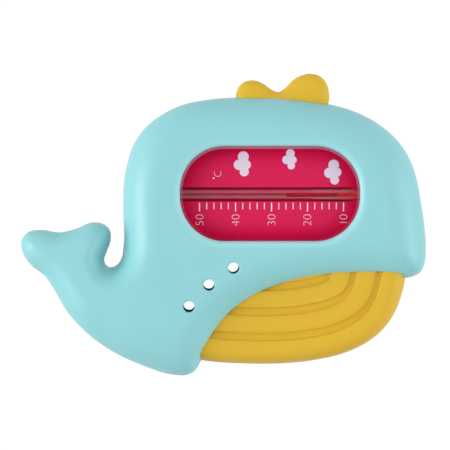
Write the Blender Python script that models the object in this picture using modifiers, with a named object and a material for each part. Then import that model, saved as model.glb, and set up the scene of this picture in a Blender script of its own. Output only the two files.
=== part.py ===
# Floating baby bath thermometer in the shape of a whale
# It lies on its back: +X to the head, +Y to the spout, +Z out of the scale side.
# The shells, the belly halves and the spout meet at one parting plane, half way up the depth.

import math

import bmesh
import bpy
import numpy as np
from mathutils.geometry import delaunay_2d_cdt

# Overall sizes
BODY_LENGTH = 0.125        # tail fluke to forehead
BODY_HEIGHT = 0.0932       # underside to the top of the spout
BODY_DEPTH = 0.024         # flat back to face

# Shells
WALL = 0.002
EDGE_ROUND = 0.0115        # distance from the edge over which the face turns flat
TAIL_DEPTH = 0.0132        # depth at the fluke tips
TAIL_TAPER = 0.040         # length over which the tail thins, from the fluke tips
FIT_GAP = 0.0003           # clearance between pieces that touch

# Window and lens
WINDOW_LENGTH = 0.0544
WINDOW_HEIGHT = 0.0289
WINDOW_CORNER = 0.0135
WINDOW_LIP = 0.0024        # width of the rounded lip round the window
WINDOW_LIP_DEPTH = 0.0016
LENS_THICKNESS = 0.0012
LENS_FLANGE = 0.0020       # how far the lens reaches behind the wall
LENS_RECESS = 0.0007       # lens face below the body's face
LENS_ROUND = 0.0006

# Scale plate and thermometer tube
PLATE_DEPTH = 0.0050       # plate below the body's face
PLATE_THICKNESS = 0.0014
PLATE_OVERHANG = 0.0015    # plate past the window's edge
CHANNEL_WIDTH = 0.0042
CHANNEL_WALL = 0.0010
CLIP_REACH = 0.0010        # where the channel has closed in on the tube, in from the window's warm end
CLIP_TAPER = 0.0020
TUBE_DIAMETER = 0.0033
TUBE_BORE = 0.0013
BULB_DIAMETER = 0.0050
BULB_LENGTH = 0.0060
BULB_GLASS = 0.0005
NECK_LENGTH = 0.0020       # where stem and bulb, and the channel round them, change width
TIP_REACH = 0.0062         # tube past the window, at the cold end of the scale
BULB_REACH = 0.0024        # bulb's neck past the window, at the warm end
MARK_PITCH = 0.01106       # along the scale, for ten degrees
FIRST_MARK = 0.0045        # ten degree mark, in from the window's end
READING = 26.0             # degrees that the column shows
POST_DIAMETER = 0.0040
POST_ROOT_DIAMETER = 0.0050
POST_INSET = 0.0060        # plate posts, in from the plate's ends and sides

# Holes through the body
HOLE_DIAMETER = 0.0034
HOLE_LIP = 0.0004
HOLE_BOSS_WALL = 0.0011
HOLE_DRAFT = 0.00005       # bore a little wider towards the parting plane

# Belly and spout
BELLY_DEPTH = 0.0140
BELLY_ROUND = 0.0040
BELLY_WALL = 0.0016
GROOVE_START = 0.0073      # first groove, in from the belly's visible edge
GROOVE_PITCH = 0.0077
GROOVE_WIDTH = 0.0024
GROOVE_DEPTH = 0.0005
GROOVE_COUNT = 3
GROOVE_RUN_ON = 0.0150     # groove's line past the ends of the visible edge
SPOUT_DEPTH = 0.0066
SPOUT_ROUND = 0.0045

# Facet sizes
SHELL_STEP = 0.0036
BELLY_STEP = 0.0036
SPOUT_STEP = 0.0024
FINE_STEP = 0.0004
BEND_STEP = 0.45           # facet on a bend, as a share of its radius
BEND_LEAST = 0.45          # and at least this share of a straight stretch's facet
BEND_REACH = 4             # fine steps each way over which a bend is measured
ROUND_RINGS = 6
GRID_COARSER = 1.3         # facets away from the edge, as a multiple of those along it
HOLLOW_COARSER = 1.4       # facets of the inner walls, as a multiple of the outer ones
CURVE_STEPS = 24           # between two points of an outline
CORNER_STEPS = 8
LIP_STEPS = 4
LENS_STEPS = 3
NECK_STEPS = 4
CAP_STEPS = 3
BORE_SIDES = 16
POST_SIDES = 12

# Tolerances
CUT_PAST = 0.002           # how far cutters pass the faces they cut
TINY = 0.0000001
LEAST_STRAIGHT = 0.00002   # straight run left between two rounded corners

# Outlines, as percent of the body's length and height from its middle
SHELL_OUTLINE = [
    # neck and back
    (-24.7, -7.3), (-24.8, 6.6), (-24.5, 14.9), (-23.7, 20.5), (-22.2, 26.5), (-19.0, 32.5),
    (-15.3, 36.3), (-10.6, 39.4), (-4.7, 41.2), (3.2, 42.1), (13.1, 42.1), (17.5, 41.6), (24.0, 40.4),
    # forehead and nose
    (30.8, 38.2), (37.0, 34.4), (42.5, 28.5), (45.7, 22.5), (47.4, 16.6), (48.6, 8.6),
    (49.6, -0.3), (50.0, -7.9), (49.6, -13.2), (48.6, -15.9),
    # mouth edge over the belly
    (46.6, -17.3), (43.0, -17.9), (36.8, -17.9), (28.8, -18.1), (21.1, -19.4), (14.8, -21.5),
    (8.5, -25.0), (2.5, -30.6), (-0.9, -36.2), (-3.6, -42.0), (-5.7, -45.6),
    # chin and underside
    (-7.1, -48.6), (-9.1, -49.9), (-12.6, -49.8), (-19.5, -47.0), (-26.2, -43.0), (-32.8, -37.1),
    (-38.5, -29.1), (-42.0, -21.2), (-44.0, -17.2),
    # flukes
    (-47.7, -13.2), (-49.6, -9.3), (-49.9, -5.3), (-48.1, -2.4), (-45.2, -1.8), (-40.2, -2.6),
    (-36.3, -1.3), (-32.3, 0.7), (-29.9, 0.3), (-28.1, -1.7), (-27.8, -4.6), (-28.9, -9.3),
    # notch between flukes and neck
    (-29.5, -11.9), (-28.6, -14.0), (-26.9, -13.9), (-25.3, -11.6),
]

BELLY_EDGE = [
    (-4.9, -45.1), (-2.7, -45.5), (3.0, -46.0), (11.0, -46.2), (17.5, -45.8), (22.7, -44.9),
    (29.0, -43.0), (34.4, -39.9), (39.1, -35.2), (42.4, -28.9), (44.0, -23.2), (44.8, -18.2),
]

BELLY_ROOT = [
    # inside the shells, past the mouth edge
    (44.6, -14.2), (43.2, -10.8), (39.5, -9.0), (33.8, -8.5), (27.7, -8.8), (20.2, -10.1),
    (13.1, -12.9), (6.7, -17.5), (1.2, -23.5), (-4.3, -30.0), (-7.7, -36.0), (-9.4, -40.6),
    (-8.3, -43.9),
]

SPOUT_OUTLINE = [
    # two lobes, then the root inside the shells
    (3.1, 41.4), (3.3, 44.4), (4.9, 47.1), (7.2, 47.8), (9.8, 46.7), (12.0, 44.6), (13.5, 43.9),
    (14.9, 44.9), (17.0, 47.7), (19.2, 49.4), (21.4, 50.0), (23.6, 49.3), (25.2, 47.3),
    (26.0, 44.2), (25.8, 39.8), (24.2, 37.2), (19.0, 36.2), (10.0, 36.5), (5.0, 37.6),
]

HOLES = [(-8.5, -26.8), (-3.6, -19.7), (2.4, -14.1)]
WINDOW_CENTRE = (11.4, 10.2)
TUBE_LEVEL = -0.0002       # tube's axis, up from the window's middle

# Places that follow from the sizes
HALF = BODY_DEPTH / 2
WINDOW_X = WINDOW_CENTRE[0] * BODY_LENGTH / 100
WINDOW_Y = WINDOW_CENTRE[1] * BODY_HEIGHT / 100
WINDOW_LEFT = WINDOW_X - WINDOW_LENGTH / 2
WINDOW_RIGHT = WINDOW_X + WINDOW_LENGTH / 2
LENS_SEAT = HALF - WALL - FIT_GAP
PLATE_TOP = HALF - PLATE_DEPTH
PLATE_BOTTOM = PLATE_TOP - PLATE_THICKNESS
TUBE_Y = WINDOW_Y + TUBE_LEVEL
TUBE_Z = PLATE_TOP - TUBE_DIAMETER / 2
TUBE_TIP = WINDOW_LEFT - TIP_REACH
BULB_START = WINDOW_RIGHT + BULB_REACH
BULB_END = BULB_START + BULB_LENGTH
COLUMN_END = WINDOW_RIGHT - FIRST_MARK - (READING - 10) / 10 * MARK_PITCH


def clear_scene():
    for item in list(bpy.data.objects):
        bpy.data.objects.remove(item, do_unlink=True)


# Flat outlines, as arrays of points

def scaled(percent_points):
    size = np.array([BODY_LENGTH, BODY_HEIGHT]) / 100
    return np.array(percent_points) * size


def smooth_curve(points, closed=True):
    # cubic through the points, with tangents weighted by the spans on each side
    if not closed:
        first = 2 * points[0] - points[1]
        last = 2 * points[-1] - points[-2]
        points = np.vstack([first, points, last])
    before = np.roll(points, 1, axis=0)
    after = np.roll(points, -1, axis=0)
    back = np.linalg.norm(points - before, axis=1)[:, None]
    ahead = np.linalg.norm(after - points, axis=1)[:, None]
    tangent = ((points - before) / back * ahead + (after - points) / ahead * back) / (back + ahead)
    t = np.linspace(0, 1, CURVE_STEPS, endpoint=False)[None, :, None]
    start, end = points[:, None, :], after[:, None, :]
    pull_start = (tangent * ahead)[:, None, :]
    pull_end = (np.roll(tangent, -1, axis=0) * ahead)[:, None, :]
    spans = (start * (2 * t**3 - 3 * t**2 + 1) + pull_start * (t**3 - 2 * t**2 + t)
             + end * (3 * t**2 - 2 * t**3) + pull_end * (t**3 - t**2))
    if closed:
        return spans.reshape(-1, 2)
    return np.vstack([spans[1:-2].reshape(-1, 2), points[-2]])


def even_steps(path, step, closed=True):
    ring = np.vstack([path, path[:1]]) if closed else path
    lengths = np.linalg.norm(np.diff(ring, axis=0), axis=1)
    along = np.concatenate([[0], np.cumsum(lengths)])
    count = round(along[-1] / step)
    places = np.linspace(0, along[-1], count, endpoint=not closed)
    return np.column_stack([np.interp(places, along, ring[:, axis]) for axis in (0, 1)])


def anticlockwise(loop):
    after = np.roll(loop, -1, axis=0)
    area = np.sum(loop[:, 0] * after[:, 1] - loop[:, 1] * after[:, 0])
    return loop if area > 0 else loop[::-1]


def left_normals(path, closed=True):
    if closed:
        along = np.roll(path, -1, axis=0) - np.roll(path, 1, axis=0)
    else:
        along = np.gradient(path, axis=0)
    along = along / np.linalg.norm(along, axis=1)[:, None]
    return np.column_stack([-along[:, 1], along[:, 0]])


def distance_to(path, points, closed=True):
    starts = path if closed else path[:-1]
    spans = (np.roll(path, -1, axis=0) if closed else path[1:]) - starts
    offsets = points[:, None, :] - starts[None, :, :]
    share = np.sum(offsets * spans, axis=2) / np.sum(spans * spans, axis=1)
    nearest = np.clip(share, 0, 1)[:, :, None] * spans
    return np.sqrt(np.sum((offsets - nearest)**2, axis=2)).min(axis=1)


def clear_of(path, moved, distance, closed=True):
    # the moved points, without those that come closer to another stretch of the path
    near_enough = 0.995
    return moved[distance_to(path, moved, closed) > distance * near_enough]


def moved_in(path, distance, closed=True):
    return clear_of(path, path + left_normals(path, closed) * distance, distance, closed)


def flux(loop, points, power):
    # edge seen from each point: full circle for power 0, nearness of the edge for higher powers
    after = np.roll(loop, -1, axis=0)
    along = after - loop
    outward = np.column_stack([along[:, 1], -along[:, 0]])
    away = ((loop + after) / 2)[None, :, :] - points[:, None, :]
    reach = np.sum(away * away, axis=2)
    return np.sum(np.sum(away * outward, axis=2) / reach**(1 + power / 2), axis=1)


def soft_distance(loop, points):
    # distance from the edge, blended smoothly where two edges are equally near
    power = 4
    straight_edge = 3 * math.pi / 8
    near = np.maximum(flux(loop, points, power), TINY)
    soft = (straight_edge / near)**(1 / power)
    exact = distance_to(loop, points)
    too_near_for_flux = 4 * FINE_STEP
    return np.where(exact < too_near_for_flux, exact, soft)


def rounded_rectangle(length, height, corner):
    corner = min(corner, (min(length, height) - LEAST_STRAIGHT) / 2)
    loop = []
    for quarter in range(4):
        side_x = 1 if quarter in (0, 3) else -1
        side_y = 1 if quarter < 2 else -1
        for step in range(CORNER_STEPS + 1):
            angle = math.radians(90) * (quarter + step / CORNER_STEPS)
            loop.append((side_x * (length / 2 - corner) + corner * math.cos(angle),
                         side_y * (height / 2 - corner) + corner * math.sin(angle)))
    return np.array(loop)


# Solids

def new_object(name, mesh, collection, material=None):
    item = bpy.data.objects.new(name, mesh)
    collection.objects.link(item)
    if material:
        mesh.materials.append(material)
    return item


def mesh_from(name, bm):
    bmesh.ops.recalc_face_normals(bm, faces=bm.faces)
    mesh = bpy.data.meshes.new(name)
    bm.to_mesh(mesh)
    bm.free()
    return mesh


def thinning(x):
    # share of the full depth, less along the tail
    tip = -BODY_LENGTH / 2
    along = np.clip((x - tip) / TAIL_TAPER, 0, 1)
    least = TAIL_DEPTH / BODY_DEPTH
    return least + (1 - least) * along**2 * (3 - 2 * along)


def domed_mesh(name, outline, half_depth, edge_round, step, side, foot=None, grow=0.0):
    # a flat-bottomed solid on the parting plane, with a top that rises from the outline as a quarter ellipse;
    # a foot carries it on past the plane, and grow makes the room that the solid fits in
    outline = anticlockwise(even_steps(outline, FINE_STEP))
    inward = left_normals(outline)
    picks = closer_on_bends(inward, step)
    edge, inward = outline[picks], inward[picks]
    rings = []
    for ring in range(1, ROUND_RINGS + 1):
        inset = edge_round * (1 - math.cos(math.radians(90) * ring / ROUND_RINGS))
        rings.append(clear_of(outline, edge + inward * inset, inset))
    inner = np.vstack(rings + [grid_between(outline, edge_round, step)])
    inner = spaced_apart(inner, distance_to(outline, inner), edge_round, step)

    points = np.vstack([edge, inner])
    top = domed_height(outline, points, half_depth, edge_round)
    top[:len(edge)] = FIT_GAP / 2
    corners, _, faces, *_ = delaunay_2d_cdt(
        [tuple(point) for point in points], [], [list(range(len(edge)))], 1, TINY)
    bm = bmesh.new()
    verts = [bm.verts.new((corner.x, corner.y, side * height)) for corner, height in zip(corners, top)]
    for face in faces:
        bm.faces.new([verts[index] for index in face])
    if grow:
        swell(bm, grow * side)
    rim = [item for item in bm.edges if item.is_boundary]
    if foot is not None:
        skirt = bmesh.ops.extrude_edge_only(bm, edges=rim)["geom"]
        for item in skirt:
            if isinstance(item, bmesh.types.BMVert):
                item.co.z = side * foot
        rim = [item for item in skirt if isinstance(item, bmesh.types.BMEdge) and item.is_boundary]
    bmesh.ops.edgeloop_fill(bm, edges=rim)
    return mesh_from(name, bm)


def swell(bm, amount):
    # moves each point of the open dome along its normal, the rim only sideways
    bm.normal_update()
    moves = []
    for vert in bm.verts:
        direction = vert.normal.copy()
        if vert.is_boundary:
            direction.z = 0
            direction.normalize()
        moves.append(direction * amount)
    for vert, move in zip(bm.verts, moves):
        vert.co += move


def closer_on_bends(normals, step):
    # places along an even path, a step apart where it is straight and closer where it bends
    ahead = np.roll(normals, -BEND_REACH, axis=0)
    behind = np.roll(normals, BEND_REACH, axis=0)
    turn = np.linalg.norm(ahead - behind, axis=1)
    radius = 2 * BEND_REACH * FINE_STEP / np.maximum(turn, TINY)
    spacing = np.clip(radius * BEND_STEP, step * BEND_LEAST, step)
    along = np.cumsum(FINE_STEP / spacing)
    return np.searchsorted(along, np.linspace(0, along[-1], round(along[-1]), endpoint=False))


def grid_between(outline, edge_round, step):
    # points for the curved stretches that lie far from the edge
    low, high = outline.min(axis=0), outline.max(axis=0)
    columns = np.arange(low[0], high[0], step * GRID_COARSER)
    rows = np.arange(low[1], high[1], step * GRID_COARSER)
    grid = np.array([(x, y) for x in columns for y in rows])
    grid = grid[flux(outline, grid, 0) > math.pi]
    grid = grid[distance_to(outline, grid) > edge_round / 4]
    on_tail = grid[:, 0] < -BODY_LENGTH / 2 + TAIL_TAPER
    return grid[on_tail | (soft_distance(outline, grid) < edge_round)]


def spaced_apart(points, room, edge_round, step):
    # leaves out each point that comes too close to one before it; near the edge closer ones may stay
    widest = min(step * 0.45, edge_round * 0.2)
    closest = step * 0.05
    kept = []
    for place, least in zip(points, np.clip(room * 0.4, closest, widest)):
        if all((place[0] - other[0])**2 + (place[1] - other[1])**2 > least**2 for other in kept):
            kept.append(place)
    return np.array(kept)


def domed_height(outline, points, half_depth, edge_round):
    share = np.clip(soft_distance(outline, points) / edge_round, 0, 1)
    rise = np.sqrt(np.clip(1 - (1 - share)**2, 0, 1))
    return half_depth * rise * thinning(points[:, 0])


def stacked_mesh(name, levels):
    # loft through loops with the same number of points, each at its own height
    bm = bmesh.new()
    rings = [[bm.verts.new((x, y, z)) for x, y in loop] for loop, z in levels]
    for lower, upper in zip(rings, rings[1:]):
        count = len(lower)
        for index in range(count):
            after = (index + 1) % count
            bm.faces.new((lower[index], lower[after], upper[after], upper[index]))
    bm.faces.new(rings[0][::-1])
    bm.faces.new(rings[-1])
    return mesh_from(name, bm)


def turned_object(name, profile, sides, collection, material=None):
    # profile of (radius, height) from the top down its outer side, turned about the object's Z axis
    bm = bmesh.new()
    verts = [bm.verts.new((radius, 0, height)) for radius, height in profile]
    for first, second in zip(verts, verts[1:]):
        bm.edges.new((first, second))
    if profile[0][0] > 0:
        bm.edges.new((verts[-1], verts[0]))
    mesh = bpy.data.meshes.new(name)
    bm.to_mesh(mesh)
    bm.free()
    item = new_object(name, mesh, collection, material)
    turn = item.modifiers.new("turn", "SCREW")
    turn.steps = sides
    turn.render_steps = sides
    turn.use_merge_vertices = True
    turn.merge_threshold = 0.00001
    return item


def combine(item, other, operation):
    joint = item.modifiers.new(operation.lower() + " " + other.name, "BOOLEAN")
    joint.operation = operation
    joint.object = other
    joint.solver = "EXACT"


def combine_all(item, others, operation):
    # one joint operation with a group of pieces
    group = bpy.data.collections.new(operation.lower() + " " + item.name)
    for other in others:
        group.objects.link(other)
    joint = item.modifiers.new(group.name, "BOOLEAN")
    joint.operation = operation
    joint.operand_type = "COLLECTION"
    joint.collection = group
    joint.solver = "EXACT"


def material(name, colour, roughness, metallic=0.0, alpha=1.0):
    surface = bpy.data.materials.new(name)
    surface.use_nodes = True
    shader = surface.node_tree.nodes["Principled BSDF"]
    linear = [((part / 255 + 0.055) / 1.055)**2.4 for part in colour]
    shader.inputs["Base Color"].default_value = (*linear, 1)
    shader.inputs["Roughness"].default_value = roughness
    shader.inputs["Metallic"].default_value = metallic
    shader.inputs["Alpha"].default_value = alpha
    return surface


# Sub-parts

def shell_cutters(side, cutters, shell, belly, spout, tag):
    inner = moved_in(shell, WALL)
    hollow = domed_mesh("hollow_" + tag, inner, HALF - WALL, EDGE_ROUND - WALL,
                        SHELL_STEP * HOLLOW_COARSER, side, -CUT_PAST)
    belly_room = domed_mesh("belly_room_" + tag, belly, BELLY_DEPTH / 2, BELLY_ROUND, BELLY_STEP, side,
                            -CUT_PAST, FIT_GAP)
    spout_room = domed_mesh("spout_room_" + tag, spout, SPOUT_DEPTH / 2, SPOUT_ROUND, SPOUT_STEP, side,
                            -CUT_PAST, FIT_GAP)
    return [new_object(mesh.name, mesh, cutters) for mesh in (hollow, belly_room, spout_room)]


def hole_pieces(side, cutters, tag):
    # a tube from the face down to the parting plane, and the cut that opens it through the face
    bosses, holes = [], []
    radius = HOLE_DIAMETER / 2
    outer = radius + HOLE_BOSS_WALL
    inner = radius + HOLE_DRAFT
    top, bottom = HALF - WALL / 2, FIT_GAP
    tube = [(0, top), (outer, top), (outer, bottom), (inner, bottom), (inner, top - WALL), (0, top - WALL)]
    cut = [(0, HALF + CUT_PAST), (radius + HOLE_LIP, HALF + CUT_PAST)]
    for angle in (90, 45, 0):
        turn = math.radians(angle)
        cut.append((radius + HOLE_LIP * (1 - math.cos(turn)), HALF - HOLE_LIP * (1 - math.sin(turn))))
    cut += [(radius, top - WALL * 2), (0, top - WALL * 2)]
    for number, place in enumerate(HOLES):
        x, y = scaled([place])[0]
        boss = turned_object(f"boss_{tag}_{number}", tube, BORE_SIDES, cutters)
        hole = turned_object(f"hole_{tag}_{number}", cut, BORE_SIDES, cutters)
        for item in (boss, hole):
            item.location = (x, y, 0)
            item.rotation_euler.x = 0 if side > 0 else math.pi
        bosses.append(boss)
        holes.append(hole)
    return bosses, holes


def window_cutter(cutters):
    base = rounded_rectangle(WINDOW_LENGTH, WINDOW_HEIGHT, WINDOW_CORNER)
    levels = [(base, HALF - WALL - CUT_PAST)]
    for step in range(LIP_STEPS + 1):
        angle = math.radians(90) * step / LIP_STEPS
        grow = WINDOW_LIP * (1 - math.cos(angle))
        wider = rounded_rectangle(WINDOW_LENGTH + 2 * grow, WINDOW_HEIGHT + 2 * grow, WINDOW_CORNER + grow)
        levels.append((wider, HALF - WINDOW_LIP_DEPTH * (1 - math.sin(angle))))
    levels.append((wider, HALF + CUT_PAST))
    window = new_object("window_cutter", stacked_mesh("window_cutter", levels), cutters)
    window.location = (WINDOW_X, WINDOW_Y, 0)
    return window


def make_shell(name, side, parts, cutters, outlines, surface, posts=(), window=()):
    shell, belly, spout = outlines
    item = new_object(name, domed_mesh(name, shell, HALF, EDGE_ROUND, SHELL_STEP, side), parts, surface)
    hollow, belly_room, spout_room = shell_cutters(side, cutters, shell, belly, spout, name)
    bosses, holes = hole_pieces(side, cutters, name)
    combine(item, hollow, "DIFFERENCE")
    combine_all(item, [*bosses, *posts], "UNION")
    combine_all(item, [*window, belly_room, spout_room, *holes], "DIFFERENCE")
    return item


def plate_posts(cutters):
    # four posts on the rear shell, just under the plate
    posts = []
    reach_x = WINDOW_LENGTH / 2 + PLATE_OVERHANG - POST_INSET - WINDOW_CORNER / 2
    reach_y = WINDOW_HEIGHT / 2 + PLATE_OVERHANG - POST_INSET
    top = PLATE_BOTTOM - FIT_GAP
    bottom = -HALF + WALL / 2
    profile = [(0, top), (POST_DIAMETER / 2, top), (POST_ROOT_DIAMETER / 2, bottom), (0, bottom)]
    for sign_x in (-1, 1):
        for sign_y in (-1, 1):
            post = turned_object(f"post_{sign_x}_{sign_y}", profile, POST_SIDES, cutters)
            post.location = (WINDOW_X + sign_x * reach_x, WINDOW_Y + sign_y * reach_y, 0)
            posts.append(post)
    return posts


def make_belly(name, side, parts, cutters, belly, surface):
    half = BELLY_DEPTH / 2
    item = new_object(name, domed_mesh(name, belly, half, BELLY_ROUND, BELLY_STEP, side), parts, surface)
    inner = moved_in(belly, BELLY_WALL)
    hollow = domed_mesh("hollow_" + name, inner, half - BELLY_WALL, BELLY_ROUND - BELLY_WALL,
                        BELLY_STEP * HOLLOW_COARSER, side, -CUT_PAST)
    combine(item, new_object(hollow.name, hollow, cutters), "DIFFERENCE")
    for groove in belly_grooves(name, side, cutters):
        combine(item, groove, "DIFFERENCE")
    return item


def run_on(last, before):
    away = last - before
    return last + away / np.linalg.norm(away) * GROOVE_RUN_ON


def belly_grooves(name, side, cutters):
    # bands that follow the visible edge, and run on under the shells at both ends
    edge = scaled(BELLY_EDGE)
    path = np.vstack([run_on(edge[0], edge[1]), edge, run_on(edge[-1], edge[-2])])
    path = even_steps(smooth_curve(path, False), FINE_STEP, False)
    grooves = []
    for number in range(GROOVE_COUNT):
        near = GROOVE_START + number * GROOVE_PITCH
        outer = even_steps(moved_in(path, near, False), BELLY_STEP, False)
        inner = even_steps(moved_in(path, near + GROOVE_WIDTH, False), BELLY_STEP, False)
        loop = anticlockwise(np.vstack([outer, inner[::-1]]))
        floor = BELLY_DEPTH / 2 - GROOVE_DEPTH
        levels = [(loop, floor), (loop, BELLY_DEPTH / 2 + CUT_PAST)]
        mesh = stacked_mesh(f"groove_{name}_{number}", levels)
        groove = new_object(mesh.name, mesh, cutters)
        groove.scale.z = side
        grooves.append(groove)
    return grooves


def make_spout(parts, cutters, spout, surface):
    # both halves of the crown are one soft moulding
    sizes = (spout, SPOUT_DEPTH / 2, SPOUT_ROUND, SPOUT_STEP)
    front = new_object("spout", domed_mesh("spout", *sizes, 1, -FIT_GAP), parts, surface)
    rear = new_object("spout_rear_half", domed_mesh("spout_rear_half", *sizes, -1, -FIT_GAP), cutters)
    combine(front, rear, "UNION")
    return front


def make_lens(parts, surface):
    flange = rounded_rectangle(WINDOW_LENGTH + 2 * LENS_FLANGE, WINDOW_HEIGHT + 2 * LENS_FLANGE,
                               WINDOW_CORNER + LENS_FLANGE)
    top = HALF - LENS_RECESS
    levels = [(flange, LENS_SEAT - LENS_THICKNESS), (flange, LENS_SEAT)]
    for step in range(LENS_STEPS + 1):
        angle = math.radians(90) * step / LENS_STEPS
        inset = FIT_GAP + LENS_ROUND * (1 - math.cos(angle))
        loop = rounded_rectangle(WINDOW_LENGTH - 2 * inset, WINDOW_HEIGHT - 2 * inset, WINDOW_CORNER - inset)
        if step == 0:
            levels.append((loop, LENS_SEAT))
        levels.append((loop, top - LENS_ROUND * (1 - math.sin(angle))))
    item = new_object("window_lens", stacked_mesh("window_lens", levels), parts, surface)
    item.location = (WINDOW_X, WINDOW_Y, 0)
    return item


def s_curve(end, length, narrow, wide):
    # places and half widths where the width changes, up to a place along the tube's line
    points = []
    for step in range(NECK_STEPS + 1):
        along = step / NECK_STEPS
        blend = along**2 * (3 - 2 * along)
        points.append((end - length * (1 - along), narrow + (wide - narrow) * blend))
    return points


def channel_loop(clearance, start, end):
    # wide beside the scale, close round the tube at the window's end, then the bulb's pocket
    stem = CHANNEL_WIDTH / 2 + clearance
    clip = TUBE_DIAMETER / 2 + FIT_GAP + clearance
    bulb = BULB_DIAMETER / 2 + FIT_GAP + clearance
    side = [(start, stem), *s_curve(WINDOW_RIGHT - CLIP_REACH, CLIP_TAPER, stem, clip),
            *s_curve(BULB_START, NECK_LENGTH, clip, bulb), (end, bulb)]
    return np.array(side[::-1] + [(x, -y) for x, y in side])


def make_scale_plate(parts, cutters, surface):
    length = WINDOW_LENGTH + 2 * PLATE_OVERHANG
    height = WINDOW_HEIGHT + 2 * PLATE_OVERHANG
    loop = rounded_rectangle(length, height, WINDOW_CORNER + PLATE_OVERHANG) + (WINDOW_X, -TUBE_LEVEL)
    plate = stacked_mesh("scale_plate", [(loop, PLATE_BOTTOM), (loop, PLATE_TOP)])
    item = new_object(plate.name, plate, parts, surface)
    start = TUBE_TIP - FIT_GAP
    end = BULB_END + FIT_GAP
    floor = TUBE_Z - BULB_DIAMETER / 2 - FIT_GAP
    outer = channel_loop(CHANNEL_WALL, start - CHANNEL_WALL, end + CHANNEL_WALL)
    inner = channel_loop(0, start, end)
    trough = stacked_mesh("trough", [(outer, floor - CHANNEL_WALL), (outer, PLATE_TOP - FIT_GAP)])
    room = stacked_mesh("tube_room", [(inner, floor), (inner, PLATE_TOP + CUT_PAST)])
    combine(item, new_object(trough.name, trough, cutters), "UNION")
    combine(item, new_object(room.name, room, cutters), "DIFFERENCE")
    for name in (item.name, trough.name, room.name):
        bpy.data.objects[name].location.y = TUBE_Y
    return item


def tube_profile(stem, bulb, tip, end):
    # from the bulb's round end to the tip, as (radius, distance along the tube)
    profile = []
    for step in range(CAP_STEPS + 1):
        angle = math.radians(90) * step / CAP_STEPS
        profile.append((bulb * math.sin(angle), end - bulb * (1 - math.cos(angle))))
    profile += [(radius, place) for place, radius in s_curve(BULB_START, NECK_LENGTH, stem, bulb)[::-1]]
    profile.append((stem, tip))
    return profile


def make_tube(parts, surface):
    outer = tube_profile(TUBE_DIAMETER / 2, BULB_DIAMETER / 2, TUBE_TIP, BULB_END)
    inner = tube_profile(TUBE_BORE / 2, BULB_DIAMETER / 2 - BULB_GLASS, TUBE_TIP, BULB_END - BULB_GLASS)
    item = turned_object("glass_tube", outer + inner[::-1], BORE_SIDES, parts, surface)
    item.location = (0, TUBE_Y, TUBE_Z)
    item.rotation_euler.y = math.radians(90)
    return item


def make_column(parts, surface):
    gap = BULB_GLASS + FIT_GAP
    profile = tube_profile(TUBE_BORE / 2 - FIT_GAP, BULB_DIAMETER / 2 - gap, COLUMN_END, BULB_END - gap)
    item = turned_object("spirit_column", profile + [(0, COLUMN_END)], BORE_SIDES, parts, surface)
    item.location = (0, TUBE_Y, TUBE_Z)
    item.rotation_euler.y = math.radians(90)
    return item


def main():
    clear_scene()
    parts = bpy.data.collections.new("baby_bath_thermometer")
    cutters = bpy.data.collections.new("cutters")
    for collection in (parts, cutters):
        bpy.context.scene.collection.children.link(collection)
    frame = bpy.data.objects.new("baby_bath_thermometer_frame", None)
    frame.location.z = HALF
    parts.objects.link(frame)

    turquoise = material("turquoise_moulding", (145, 208, 213), 0.45)
    yellow = material("yellow_moulding", (218, 177, 62), 0.45)
    red = material("red_plate", (213, 38, 83), 0.5)
    clear = material("clear_window", (245, 248, 250), 0.05, alpha=0.2)
    glass = material("tube_glass", (235, 235, 240), 0.05, alpha=0.4)
    spirit = material("red_spirit", (160, 0, 15), 0.2)

    shell = smooth_curve(scaled(SHELL_OUTLINE))
    belly = smooth_curve(scaled(BELLY_EDGE + BELLY_ROOT))
    spout = smooth_curve(scaled(SPOUT_OUTLINE))
    shell, belly, spout = [anticlockwise(even_steps(loop, FINE_STEP)) for loop in (shell, belly, spout)]
    outlines = (shell, belly, spout)

    make_shell("front_shell", 1, parts, cutters, outlines, turquoise, window=[window_cutter(cutters)])
    make_shell("rear_shell", -1, parts, cutters, outlines, turquoise, posts=plate_posts(cutters))
    make_belly("belly_front", 1, parts, cutters, belly, yellow)
    make_belly("belly_rear", -1, parts, cutters, belly, yellow)
    make_spout(parts, cutters, spout, yellow)
    make_lens(parts, clear)
    make_scale_plate(parts, cutters, red)
    make_tube(parts, glass)
    make_column(parts, spirit)

    for item in list(parts.objects) + list(cutters.objects):
        if item is not frame:
            item.parent = frame
    for item in cutters.objects:
        item.hide_render = True
        item.display_type = "WIRE"
    bpy.context.view_layer.update()


main()
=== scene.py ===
import math
import time

import bmesh
import bpy
import numpy as np
from mathutils import Matrix, Vector
from mathutils.geometry import delaunay_2d_cdt


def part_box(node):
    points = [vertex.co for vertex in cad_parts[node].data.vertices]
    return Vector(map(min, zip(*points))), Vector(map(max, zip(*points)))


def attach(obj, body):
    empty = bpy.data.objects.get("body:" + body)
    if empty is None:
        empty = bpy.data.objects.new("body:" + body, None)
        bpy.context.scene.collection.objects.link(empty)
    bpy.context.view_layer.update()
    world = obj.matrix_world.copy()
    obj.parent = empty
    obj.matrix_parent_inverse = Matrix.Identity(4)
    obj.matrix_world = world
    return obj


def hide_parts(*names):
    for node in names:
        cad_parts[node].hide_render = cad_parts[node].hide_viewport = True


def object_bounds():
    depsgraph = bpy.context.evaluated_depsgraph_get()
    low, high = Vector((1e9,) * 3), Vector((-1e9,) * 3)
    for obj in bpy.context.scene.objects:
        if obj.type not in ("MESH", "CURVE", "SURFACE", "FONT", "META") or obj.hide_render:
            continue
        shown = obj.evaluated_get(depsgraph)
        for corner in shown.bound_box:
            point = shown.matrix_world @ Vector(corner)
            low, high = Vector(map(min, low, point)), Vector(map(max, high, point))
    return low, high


startTime = time.time()
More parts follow.
